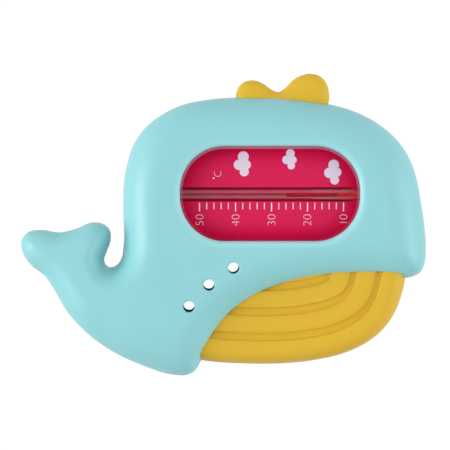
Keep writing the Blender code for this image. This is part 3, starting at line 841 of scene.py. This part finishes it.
def grooveRings():
    # denser points along the sides of the grooves
    nears = [belly["grooveStart"] + number * belly["groovePitch"] for number in range(belly["grooveCount"])]
    insets = [side + share * belly["grooveSoft"] for near in nears for side in (near, near + belly["grooveWidth"])
              for share in belly["grooveRings"]]
    return [evenSteps(movedIn(bellyPath, inset, False), belly["ringStep"], False) for inset in insets]


def buildGrooves():
    # sinks evenly spaced bands into a face, each band following a path at its own distance
    tree, given, result = geometryTree("bellyGrooves", {
        "Object": "Edge Path", "Int": "Count",
        "Float": "Start, Pitch, Width, Depth, Softness, Side, Level, Least Height"})
    path = addNode(tree, "GeometryNodeObjectInfo", {"Object": given["Edge Path"]})["Geometry"]
    split = separated(tree, addNode(tree, "GeometryNodeInputPosition")["Position"])
    onLevel = combined(tree, split[0], split[1], given["Level"])
    near = addNode(tree, "GeometryNodeProximity", {"Geometry": path, "Sample Position": onLevel},
                   target_element="EDGES")
    begun = maths(tree, "SUBTRACT", near["Distance"], given["Start"])
    begun = maths(tree, "MULTIPLY_ADD", given["Softness"], 0.5, begun)
    number = maths(tree, "FLOOR", maths(tree, "DIVIDE", begun, given["Pitch"]))
    along = maths(tree, "SUBTRACT", begun, maths(tree, "MULTIPLY", number, given["Pitch"]))
    back = maths(tree, "SUBTRACT", maths(tree, "ADD", given["Width"], given["Softness"]), along)
    share = softStep(tree, maths(tree, "MINIMUM", along, back), 0.0, given["Softness"])
    counted = maths(tree, "MULTIPLY", maths(tree, "GREATER_THAN", number, -0.5),
                    maths(tree, "LESS_THAN", number, maths(tree, "SUBTRACT", given["Count"], 0.5)))
    height = maths(tree, "MULTIPLY", maths(tree, "SUBTRACT", split[2], given["Level"]), given["Side"])
    onFace = maths(tree, "GREATER_THAN", height, given["Least Height"])
    share = maths(tree, "MULTIPLY", share, counted)
    sunk = maths(tree, "MULTIPLY", share, given["Depth"])
    offset = combined(tree, z=maths(tree, "MULTIPLY", sunk, maths(tree, "MULTIPLY", given["Side"], -1.0)))
    # the share of each groove's depth is kept for the painted shade in the grooves
    kept = addNode(tree, "GeometryNodeStoreNamedAttribute", {
        "Geometry": given["Geometry"], "Name": "grooveDepth", "Value": maths(tree, "MULTIPLY", share, onFace)},
        data_type="FLOAT", domain="POINT")["Geometry"]
    moved = addNode(tree, "GeometryNodeSetPosition", {"Geometry": kept, "Selection": onFace, "Offset": offset})
    return closeTree(tree, moved["Geometry"], given["Material"], result)


bellyGrooves = buildGrooves()


def makeBelly(name, side, node):
    item = domeMesh(name, bellyOutline, belly, side, grooveRings())
    hollowOut(item, bellyOutline, belly, side)
    path = emptyPiece("bellyPath")
    path.data.from_pydata([(x, y, parting) for x, y in bellyPath], [(i, i + 1) for i in range(len(bellyPath) - 1)], [])
    grown(item, bellyGrooves, {
        "Edge Path": path, "Start": belly["grooveStart"], "Pitch": belly["groovePitch"], "Width": belly["grooveWidth"],
        "Depth": belly["grooveDepth"], "Softness": belly["grooveSoft"], "Count": belly["grooveCount"],
        "Side": float(side), "Level": parting, "Least Height": belly["depth"] / 2 - belly["wall"] / 2,
        "Material": groovedYellow})
    bpy.data.objects.remove(path, do_unlink=True)
    smooth(item, "round")
    finishPiece(item, groovedYellow, "yellow_moulding", node)


makeBelly("bellyFront", 1, "belly_front")
makeBelly("bellyRear", -1, "belly_rear")
report("belly")

# Spout

finishPiece(domeMesh("spoutCrown", spoutOutline, spout, 0), yellow, "yellow_moulding", "spout")
report("spout")

# Window lens

lens = {
    "thickness": 0.0012,
    "flange": 0.0020,
    "seatGap": 0.0003,  # under the shell's wall
    "recess": 0.0007,
    "round": 0.0006,
    "gap": 0.0001,
    "roundSteps": 6,
    "haze": 0.0008,  # how much the clear middle veils what lies behind
    "topEdgeReflection": 0.34,  # painted reflection on the rounded edge, at the top
    "sideEdgeReflection": 0.08,  # and along the lower sides
    "edgeReflectionRise": (-0.35, 0.45),  # where the edge's painted reflection grows, in heights of the window from its middle
    "lowFade": (-0.5, -0.3),  # where it fades along the bottom
    "lowShare": 0.25,
    "paintedEdgeReach": 0.0008,
    "colour": (240, 243, 246),
    "paintedEdgeColour": (196, 128, 168),
    "roughness": 0.12,
    "specular": 0.1,
}
lensSeat = bodyDepth - body["wall"] - lens["seatGap"]


def clearWindowMaterial():
    surface, tree, shader = newMaterial("clearWindow")
    # painted reflection: a mauve band on the lens's rounded edge, strongest at the top, weak along the sides and
    # fading along the bottom
    edge = nearEdge(tree, -lens["gap"], lens["paintedEdgeReach"])
    height = separated(tree, objectPosition(tree, (*windowCentre, 0)))[1]
    rise, fade = ([share * window["height"] for share in lens[key]] for key in ("edgeReflectionRise", "lowFade"))
    high = softStep(tree, height, *rise, lens["sideEdgeReflection"], lens["topEdgeReflection"])
    strength = maths(tree, "MULTIPLY", high, softStep(tree, height, *fade, lens["lowShare"], 1.0))
    feed(tree, shader, {
        "Alpha": maths(tree, "MULTIPLY_ADD", edge, strength, lens["haze"]),
        "Base Color": blended(tree, edge, lens["colour"], lens["paintedEdgeColour"]),
        "Roughness": lens["roughness"], "Specular IOR Level": lens["specular"]})
    return surface


def roundedRise(steps):
    # how far in and down a rounded edge is, in radii, from its foot to its top
    angles = [math.radians(90) * step / steps for step in range(steps + 1)]
    return [(1 - math.cos(angle), 1 - math.sin(angle)) for angle in angles]


def makeLens():
    top = bodyDepth - lens["recess"]
    flange = windowLoop(lens["flange"])
    levels = [(flange, lensSeat - lens["thickness"]), (flange, lensSeat), (windowLoop(-lens["gap"]), lensSeat)]
    for inward, down in roundedRise(lens["roundSteps"]):
        levels.append((windowLoop(-(lens["gap"] + lens["round"] * inward)), top - lens["round"] * down))
    finishPiece(stacked("windowLens", levels), clearWindowMaterial(), "clear_window", "window_lens")


makeLens()
report("lens")

# Scale plate with the tube's channel

plate = {
    "depth": 0.0050,  # below the body's face
    "thickness": 0.0014,
    "overhang": 0.0015,
    "channelWidth": 0.0042,
    "clipWidth": 0.0035,  # where the channel closes in on the tube
    "clipReach": 0.0010,  # in from the window's warm end
    "clipTaper": 0.0020,
    "channelWall": 0.0010,
    "lipWidth": 0.00045,  # rounded edge along the channel
    "lipDepth": 0.0003,
    "lipSteps": 4,
    "troughDrop": 0.0003,  # from the plate's top to the trough's walls
    "rimWalls": (0.0006, 0.0013),  # outside the opening
    "rimLift": 0.00003,  # clear of the plate
    "rimGap": 0.00005,  # clear of the window
}
tube = {
    "radius": 0.00165,
    "boreRadius": 0.00062,
    "bulbRadius": 0.0025,
    "bulbGlass": 0.0005,
    "bulbReach": 0.0024,  # bulb's neck past the window
    "neck": 0.0020,
    "clearance": 0.0003,
    "columnGap": 0.00003,
    "stations": 200,
    "sides": 40,
}
plateTop = bodyDepth - plate["depth"]
plateBottom = plateTop - plate["thickness"]
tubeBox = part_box("glass_tube")
tubeY = (tubeBox[0].y + tubeBox[1].y) / 2
tubeZ = (tubeBox[0].z + tubeBox[1].z) / 2
tubeTip, bulbEnd = tubeBox[0].x, tubeBox[1].x
windowRight = windowX + window["length"] / 2
bulbStart = windowRight + tube["bulbReach"]
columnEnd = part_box("spirit_column")[0].x


def widening(end, length, narrow, wide, steps=12):
    shares = [step / steps for step in range(steps + 1)]
    return [(end - length * (1 - along), narrow + (wide - narrow) * eased(along)) for along in shares]


def channelLoop(clearance, start, end):
    stem = plate["channelWidth"] / 2 + clearance
    clip = plate["clipWidth"] / 2 + clearance
    bulb = tube["bulbRadius"] + tube["clearance"] + clearance
    side = [(start, stem), *widening(windowRight - plate["clipReach"], plate["clipTaper"], stem, clip),
            *widening(bulbStart, tube["neck"], clip, bulb), (end, bulb)]
    return np.array(side[::-1] + [(x, -y) for x, y in side]) + (0, tubeY)


def makePlate():
    loop = windowLoop(plate["overhang"])
    item = stacked("scalePlate", [(loop, plateBottom), (loop, plateTop)])
    start, end = tubeTip - tube["clearance"], bulbEnd + tube["clearance"]
    floor = tubeZ - tube["bulbRadius"] - tube["clearance"]
    wall = plate["channelWall"]
    outer = channelLoop(wall, start - wall, end + wall)
    cut(item, [stacked("trough", [(outer, floor - wall), (outer, plateTop - plate["troughDrop"])])], "UNION")
    levels = [(channelLoop(0, start, end), floor)]
    for outward, down in roundedRise(plate["lipSteps"]):
        wider = channelLoop(plate["lipWidth"] * outward, start, end)
        levels.append((wider, plateTop - plate["lipDepth"] * down))
    levels.append((wider, plateTop + cutPast))
    cut(item, [stacked("room", levels)])
    smooth(item, "plate")
    finishPiece(item, redPlate, "red_plate", "scale_plate")


def makeRim():
    # raised edge of the plate's tray, which closes the gap under the window's flange
    inner, outer = (windowLoop(out) for out in plate["rimWalls"])
    low, high = plateTop + plate["rimLift"], lensSeat - lens["thickness"] - plate["rimGap"]
    item = stacked("plateRim", [(outer, low), (outer, high)])
    cut(item, [stacked("inside", [(inner, low - cutPast), (inner, high + cutPast)])])
    smooth(item, "plate")
    finishPiece(item, redPlate, "red_plate")


makePlate()
makeRim()
report("scale plate")

# Tube and spirit

glassLook = {
    "colour": (196, 88, 108),
    "bandShadingTones": (0.72, 1.12),  # painted shading: darker at the bands' sides and lighter in their middle
    "boreShadeColour": (150, 18, 38),
    "lineHalf": 0.00028,  # half the painted shade line that the empty bore shows
    "lineSoft": (0.7, 1.25),  # shares of it over which the line fades
    "lineAlpha": 0.85,
    "bandAlpha": 0.80,  # pale bands beside the bore, a painted reflection of soft light on the glass
    "bandMiddle": 0.55,  # place and half width of a band, in radii
    "bandHalf": 0.45,
    "rim": (0.85, 0.97),  # where the bands end, in radii
    "rimAlpha": 0.15,
    "seenColumn": (-0.00072, 0.00040),  # strip through which the column shows
    "columnSoft": (0.42, 0.56),  # shares of the strip's width over which it fades
    "columnVeil": 0.05,
    "cloudScale": 250,
    "clouds": (0.3, 0.7, 0.9, 1.1),  # noise from and to, and the shades there
    "roughness": 0.15,
    "specular": 0.2,
}


def tubeGlassMaterial():
    # pale bands of painted reflection on both sides of the bore, lighter in their middle as painted shading, with a
    # painted shade line along the empty bore and a clear strip over the column
    surface, tree, shader = newMaterial("tubeGlass")
    along, across, up = separated(tree, objectPosition(tree, (0, tubeY, tubeZ)))
    radius = maths(tree, "SQRT", maths(tree, "ADD", maths(tree, "POWER", across, 2.0), maths(tree, "POWER", up, 2.0)))
    inBore = maths(tree, "LESS_THAN", radius, (tube["boreRadius"] + tube["radius"]) / 2)
    aside = maths(tree, "ABSOLUTE", across)
    empty = maths(tree, "LESS_THAN", along, columnEnd)
    lineEnds = [share * glassLook["lineHalf"] for share in glassLook["lineSoft"]]
    line = maths(tree, "MULTIPLY", softStep(tree, aside, *lineEnds, 1.0, 0.0), empty)
    low, high = glassLook["seenColumn"]
    fromColumn = maths(tree, "ABSOLUTE", maths(tree, "SUBTRACT", across, (low + high) / 2))
    stripEnds = [share * (high - low) for share in glassLook["columnSoft"]]
    strip = softStep(tree, fromColumn, *stripEnds, 1.0, 0.0)
    strip = maths(tree, "MULTIPLY", strip, maths(tree, "SUBTRACT", 1.0, empty))
    rimEnds = [share * tube["radius"] for share in glassLook["rim"]]
    rim = softStep(tree, aside, *rimEnds, glassLook["bandAlpha"], glassLook["rimAlpha"])
    veil = addNode(tree, "ShaderNodeMix", {"Factor": strip, 2: rim, 3: glassLook["columnVeil"]})[0]
    alpha = maths(tree, "MAXIMUM", veil, maths(tree, "MULTIPLY", line, glassLook["lineAlpha"]))
    fromMiddle = maths(tree, "ABSOLUTE", maths(tree, "SUBTRACT", aside, tube["radius"] * glassLook["bandMiddle"]))
    middle = softStep(tree, fromMiddle, 0.0, tube["radius"] * glassLook["bandHalf"], 1.0, 0.0)
    cloudy = softStep(tree, noise(tree, objectPosition(tree), glassLook["cloudScale"]), *glassLook["clouds"])
    # lit and shaded copies of the band colour, a painted shading
    dark, pale = (tuple(part * tone for part in fromScreen(*glassLook["colour"])[:3]) + (1,)
                  for tone in glassLook["bandShadingTones"])
    banded = blended(tree, maths(tree, "MULTIPLY", middle, cloudy), dark, pale)
    feed(tree, shader, {
        "Alpha": maths(tree, "MULTIPLY", alpha, maths(tree, "SUBTRACT", 1.0, inBore)),
        "Base Color": blended(tree, line, banded, glassLook["boreShadeColour"]),
        "Roughness": glassLook["roughness"], "Specular IOR Level": glassLook["specular"]})
    return surface


def buildTurnedRod():
    # a rod turned about X: a thin stem that widens to a bulb with a round end
    tree, given, result = geometryTree("turnedRod", {
        "Float": "Start, End, Neck Start, Neck Length, Stem Radius, Bulb Radius, Centre Y, Centre Z",
        "Int": "Stations, Sides", "Bool": "Inside Out"})
    start, end, neckStart, bulb = (given[label] for label in ("Start", "End", "Neck Start", "Bulb Radius"))
    line = addNode(tree, "GeometryNodeCurvePrimitiveLine", {"End": (1, 0, 0)})["Curve"]
    stops = addNode(tree, "GeometryNodeResampleCurve", {"Curve": line, "Count": given["Stations"]})["Curve"]
    left = maths(tree, "SUBTRACT", 1.0, addNode(tree, "GeometryNodeSplineParameter")["Factor"])
    warped = maths(tree, "SUBTRACT", 1.0, maths(tree, "MULTIPLY", left, left))  # closer towards the bulb
    x = maths(tree, "MULTIPLY_ADD", warped, maths(tree, "SUBTRACT", end, start), start)
    neckEnd = maths(tree, "ADD", neckStart, given["Neck Length"])
    stem = softStep(tree, x, neckStart, neckEnd, given["Stem Radius"], bulb)
    intoCap = maths(tree, "MAXIMUM", maths(tree, "SUBTRACT", x, maths(tree, "SUBTRACT", end, bulb)), 0.0)
    square = maths(tree, "SUBTRACT", maths(tree, "POWER", bulb, 2.0), maths(tree, "POWER", intoCap, 2.0))
    cap = maths(tree, "SQRT", maths(tree, "MAXIMUM", square, 1e-10))
    place = combined(tree, x, given["Centre Y"], given["Centre Z"])
    path = addNode(tree, "GeometryNodeSetPosition", {"Geometry": stops, "Position": place})["Geometry"]
    ring = addNode(tree, "GeometryNodeCurvePrimitiveCircle", {"Resolution": given["Sides"]})["Curve"]
    skin = addNode(tree, "GeometryNodeCurveToMesh", {
        "Curve": path, "Profile Curve": ring, "Scale": maths(tree, "MINIMUM", stem, cap), "Fill Caps": True})["Mesh"]
    flipped = addNode(tree, "GeometryNodeFlipFaces", {"Mesh": skin, "Selection": given["Inside Out"]})["Mesh"]
    return closeTree(tree, flipped, given["Material"], result)


turnedRod = buildTurnedRod()


def makeRod(name, stem, bulb, start, end, material, insideOut=False):
    item = emptyPiece(name)
    grown(item, turnedRod, {
        "Start": start, "End": end, "Neck Start": bulbStart - tube["neck"], "Neck Length": tube["neck"],
        "Stem Radius": stem, "Bulb Radius": bulb, "Centre Y": tubeY, "Centre Z": tubeZ,
        "Stations": tube["stations"], "Sides": tube["sides"], "Inside Out": insideOut, "Material": material})
    smooth(item, "round")
    return item


def joined(item, other):
    bm = bmesh.new()
    bm.from_mesh(item.data)
    bm.from_mesh(other.data)
    bm.to_mesh(item.data)
    bm.free()
    bpy.data.objects.remove(other, do_unlink=True)


def makeTube():
    glass = tubeGlassMaterial()
    wall, gap = tube["bulbGlass"], tube["columnGap"]
    hollow = tube["bulbRadius"] - wall
    item = makeRod("glassTube", tube["radius"], tube["bulbRadius"], tubeTip, bulbEnd, glass)
    joined(item, makeRod("bore", tube["boreRadius"], hollow, tubeTip + wall, bulbEnd - wall, glass, True))
    finishPiece(item, glass, "tube_glass", "glass_tube")
    column = makeRod("spiritColumn", tube["boreRadius"] - gap, hollow - gap, columnEnd, bulbEnd - wall - gap, spirit)
    finishPiece(column, spirit, "red_spirit", "spirit_column")


makeTube()
report("tube and spirit")

# Prints on the plate

prints = {
    "thickness": 0.00003,
    "above": 0.00001,  # clear of the plate
    "tickPitch": 0.0022045,  # for two degrees
    "tickCount": 21,
    "longWidth": 0.00032,
    "shortWidth": 0.00024,
    "tickTop": 0.00676,  # from the middle of the frame, towards the spout
    "longTick": 0.00267,
    "shortTick": 0.00205,
    "firstTick": -0.00738,  # mark of the warmest number
    "longEvery": 5,
    "numbers": ("50", "40", "30", "20", "10"),
    "numberRow": (-0.00027, 0.00314),
    "digitHeight": 0.00234,
    "thinner": 0.030,  # takes weight off the letters
    "closeUp": 0.88,  # brings the narrow 1 nearer to its neighbour
    "curveSteps": 6,
    "dotSides": 24,
    "circleSides": 48,
    "unit": {"x": (-0.00290, -0.00076), "y": (0.01474, 0.01644)},
    "degreeDot": (-0.00306, 0.01428, 0.00024),
    "cloudShift": -0.00016,  # along the plate
    "cloudSize": 0.955,
    "clouds": [  # circles that make each cloud: place and radius, in millimetres
        [(6.18, 20.81, 1.75), (4.83, 18.36, 1.66), (7.10, 18.36, 1.47), (6.46, 16.24, 1.47)],
        [(20.60, 21.86, 1.40), (19.38, 19.86, 1.35), (21.40, 19.86, 1.20), (20.85, 18.08, 1.20)],
        [(33.86, 18.27, 1.73), (32.54, 15.90, 1.67), (34.81, 16.06, 1.47), (34.14, 13.70, 1.44)],
    ],
}
printBottom = plateTop + prints["above"]
printTop = printBottom + prints["thickness"]


def buildTicks():
    # a row of long and short marks hung from one line, with rounded corners
    tree, given, result = geometryTree("scaleTicks", {
        "Vector": "First", "Int": "Count, Long Every",
        "Float": "Pitch, Long Width, Short Width, Long, Short, Thickness"})
    row = addNode(tree, "GeometryNodeMeshLine", {
        "Count": given["Count"], "Start Location": given["First"], "Offset": combined(tree, given["Pitch"])})["Mesh"]
    order = maths(tree, "MODULO", addNode(tree, "GeometryNodeInputIndex")["Index"], given["Long Every"])
    both = tree.nodes.new("GeometryNodeJoinGeometry")
    for label, test in (("Long", "LESS_THAN"), ("Short", "GREATER_THAN")):
        width = given[label + " Width"]
        outline = addNode(tree, "GeometryNodeCurvePrimitiveQuadrilateral", {"Width": width, "Height": given[label]})
        soft = addNode(tree, "GeometryNodeFilletCurve", {
            "Curve": outline["Curve"], "Count": 3, "Radius": maths(tree, "MULTIPLY", width, 0.25)}, mode="POLY")
        face = addNode(tree, "GeometryNodeFillCurve", {"Curve": soft["Curve"]})["Mesh"]
        under = addNode(tree, "GeometryNodeFlipFaces", {"Mesh": face})["Mesh"]
        raised = addNode(tree, "GeometryNodeExtrudeMesh", {
            "Mesh": face, "Offset Scale": given["Thickness"], "Individual": False})["Mesh"]
        whole = tree.nodes.new("GeometryNodeJoinGeometry")
        for part in (raised, under):
            feed(tree, whole, {"Geometry": part})
        merged = addNode(tree, "GeometryNodeMergeByDistance", {"Geometry": whole.outputs[0], "Distance": 1e-6})
        drop = combined(tree, y=maths(tree, "MULTIPLY", given[label], -0.5))
        hung = addNode(tree, "GeometryNodeTransform", {"Geometry": merged["Geometry"], "Translation": drop})
        marks = addNode(tree, "GeometryNodeInstanceOnPoints", {
            "Points": row, "Selection": maths(tree, test, order, 0.5), "Instance": hung["Geometry"]})
        feed(tree, both, {"Geometry": marks["Instances"]})
    return closeTree(tree, both.outputs[0], given["Material"], result)


def makeTicks():
    item = emptyPiece("scaleTicks")
    grown(item, buildTicks(), {
        "First": (prints["firstTick"], prints["tickTop"], printBottom), "Pitch": prints["tickPitch"],
        "Count": prints["tickCount"], "Long Every": prints["longEvery"], "Long Width": prints["longWidth"],
        "Short Width": prints["shortWidth"], "Long": prints["longTick"], "Short": prints["shortTick"],
        "Thickness": prints["thickness"], "Material": palePrint})
    bm = bmesh.new()
    bm.from_mesh(item.data)
    written(item, bm)
    finishPiece(item, palePrint, "red_plate")


def letters(words, x, y, measure=None):
    # upright letters turned a quarter to the left; x and y are the ranges that the measure's letters fill
    curve = bpy.data.curves.new("letters", "FONT")
    curve.body = words
    curve.size = 1.0
    curve.offset = -prints["thinner"]
    curve.space_character = prints["closeUp"] if "1" in words else 1.0
    curve.extrude = 0.01
    curve.resolution_u = prints["curveSteps"]
    item = newObject("letters", curve)
    mesh = evaluatedMesh(item)
    bpy.data.objects.remove(item, do_unlink=True)
    co = np.array([v.co for v in mesh.vertices])
    low, high = co.min(axis=0), co.max(axis=0)
    if measure:
        low, high = np.array((high[0] - measure[0], low[1], low[2])), np.array((high[0], low[1] + measure[1], high[2]))
    share = (co - low) / (high - low)
    moved = np.column_stack([x[1] - share[:, 1] * (x[1] - x[0]), y[0] + share[:, 0] * (y[1] - y[0]),
                             printBottom + share[:, 2] * prints["thickness"]])
    mesh.vertices.foreach_set("co", moved.ravel())
    mesh.update()
    return mesh, tuple(high - low)[:2]


def makeNumbers():
    bm = bmesh.new()
    measure = None
    half = prints["digitHeight"] / 2
    for number, words in enumerate(prints["numbers"]):
        centre = prints["firstTick"] + number * prints["longEvery"] * prints["tickPitch"]
        mesh, measure = letters(words, (centre - half, centre + half), prints["numberRow"], measure)
        bm.from_mesh(mesh)
    finishPiece(meshObject("scaleNumbers", bm), palePrint, "red_plate")
    bm = bmesh.new()
    bm.from_mesh(letters("C", prints["unit"]["x"], prints["unit"]["y"])[0])
    item = meshObject("degreeUnit", bm)
    x, y, radius = prints["degreeDot"]
    joined(item, uprightRod("dot", (x, y), radius, printBottom, printTop, prints["dotSides"]))
    finishPiece(item, palePrint, "red_plate")


def makeClouds():
    bm = bmesh.new()
    for circles in prints["clouds"]:
        points, loops = [], []
        for x, y, radius in circles:
            ring = circle((x / 1000 + prints["cloudShift"], y / 1000), radius / 1000 * prints["cloudSize"],
                          prints["circleSides"])
            loops.append(list(range(len(points), len(points) + len(ring))))
            points += [tuple(p) for p in ring]
        corners, _, faces, *_ = delaunay_2d_cdt(points, [], loops, 1, 1e-8)
        low, high = ([bm.verts.new((p.x, p.y, z)) for p in corners] for z in (printBottom, printTop))
        sides = set()
        for face in faces:
            bm.faces.new([high[index] for index in face])
            bm.faces.new([low[index] for index in face][::-1])
            sides.update(zip(face, face[1:] + face[:1]))
        for a, b in sides:
            if (b, a) not in sides:
                bm.faces.new((low[a], low[b], high[b], high[a]))
    finishPiece(meshObject("cloudPrints", bm), cloudPrint, "red_plate")


makeTicks()
makeNumbers()
makeClouds()
report("prints")

# Camera, lights and floor

photo = {
    "cameraX": -0.008,
    "cameraY": 0.0123,
    "cameraHeight": 1.2,  # above the joint between the shells
    "pixel": 0.000308,  # size of a photograph's pixel at the joint
    "frame": 450,
    "aimX": 0.00046,
    "aimY": -0.00015,
    "sensor": 36,
    "clip": (0.01, 20),
}


def makeCamera():
    data = bpy.data.cameras.new("camera")
    camera = newObject("camera", data)
    place = Vector((photo["cameraX"], photo["cameraY"], parting + photo["cameraHeight"]))
    aim = Vector((photo["aimX"], photo["aimY"], parting))
    camera.location = place
    forward = (aim - place).normalized()
    right = forward.cross(Vector((0, 1, 0))).normalized()
    up = right.cross(forward)
    camera.rotation_mode = "QUATERNION"
    camera.rotation_quaternion = Matrix((right, up, -forward)).transposed().to_quaternion()
    data.sensor_width = photo["sensor"]
    data.lens = data.sensor_width * (aim - place).length / (photo["frame"] * photo["pixel"])
    data.clip_start, data.clip_end = photo["clip"]
    bpy.context.scene.camera = camera


makeCamera()

lights = {
    "key": {"place": (-1.9, -0.15, 0.74), "size": 1.0, "power": 23.5},
    "fill": {"place": (0.95, -0.10, 0.35), "size": 0.6, "power": 3.6},
    "top": {"place": (-0.1, 0.2, 1.6), "size": 1.0, "power": 2.4},
}
studio = {
    "horizon": 1.26,  # world's light on matt surfaces, as in a light tent
    "zenith": 0.43,
    "lessAcross": 0.38,  # share of it missing above the spout and below the belly
    "moreBehind": 0.20,
    "floorGlow": 0.965,  # what the camera sees of the floor, besides its own light
    "floorColour": 0.09,
    "floorBounce": 0.35,
    "floorHalf": 3.0,
    "floorDrop": 0.0002,  # below the thermometer's back
    "floorRoughness": 0.9,
}


def plainWhenSeen(tree, lit, plain, output):
    # camera, mirror and glass rays see the plain surface, and the rest is lit by the other
    rays = tree.nodes.new("ShaderNodeLightPath").outputs
    seen = maths(tree, "MAXIMUM", rays["Is Camera Ray"], rays["Is Transmission Ray"])
    seen = maths(tree, "MAXIMUM", seen, rays["Is Glossy Ray"])
    mixed = addNode(tree, "ShaderNodeMixShader", {"Fac": seen, 1: lit, 2: plain})[0]
    feed(tree, tree.nodes[output], {"Surface": mixed})


def makeLights():
    for name, light in lights.items():
        data = bpy.data.lights.new(name, "AREA")
        data.size = light["size"]
        data.energy = light["power"]
        item = newObject(name, data)
        item.location = light["place"]
        item.rotation_mode = "QUATERNION"
        item.rotation_quaternion = (-Vector(light["place"])).to_track_quat("-Z", "Y")
    world = bpy.data.worlds.new("studio")
    bpy.context.scene.world = world
    world.use_nodes = True
    tree = world.node_tree
    back = tree.nodes["Background"]
    way = separated(tree, addNode(tree, "ShaderNodeTexCoord")["Generated"])
    height = addNode(tree, "ShaderNodeMapRange", {
        "Value": way[2], "To Min": studio["horizon"], "To Max": studio["zenith"]})["Result"]
    across = maths(tree, "MULTIPLY_ADD", maths(tree, "MULTIPLY", way[1], way[1]), -studio["lessAcross"], 1.0)
    behind = maths(tree, "MULTIPLY_ADD", way[1], studio["moreBehind"], across)
    feed(tree, back, {"Color": (1, 1, 1, 1), "Strength": maths(tree, "MULTIPLY", height, behind)})
    white = addNode(tree, "ShaderNodeBackground", {"Color": (1, 1, 1, 1), "Strength": 1.0})[0]
    plainWhenSeen(tree, back.outputs[0], white, "World Output")


def makeFloor():
    bm = bmesh.new()
    bmesh.ops.create_grid(bm, x_segments=1, y_segments=1, size=studio["floorHalf"])
    bmesh.ops.translate(bm, verts=bm.verts, vec=(0, 0, cadLow.z - studio["floorDrop"]))
    floor = meshObject("floor", bm)
    surface, tree, shader = newMaterial("paleFloor")
    feed(tree, shader, {"Base Color": (studio["floorBounce"],) * 3 + (1,), "Roughness": studio["floorRoughness"]})
    shown = addNode(tree, "ShaderNodeBsdfDiffuse", {"Color": (studio["floorColour"],) * 3 + (1,)})[0]
    glow = addNode(tree, "ShaderNodeEmission", {"Strength": studio["floorGlow"]})[0]
    plain = addNode(tree, "ShaderNodeAddShader", {0: shown, 1: glow})[0]
    plainWhenSeen(tree, shader.outputs[0], plain, "Material Output")
    floor.data.materials.append(surface)


makeLights()
makeFloor()
bpy.context.scene.view_settings.view_transform = "Standard"
report("camera, lights and floor")
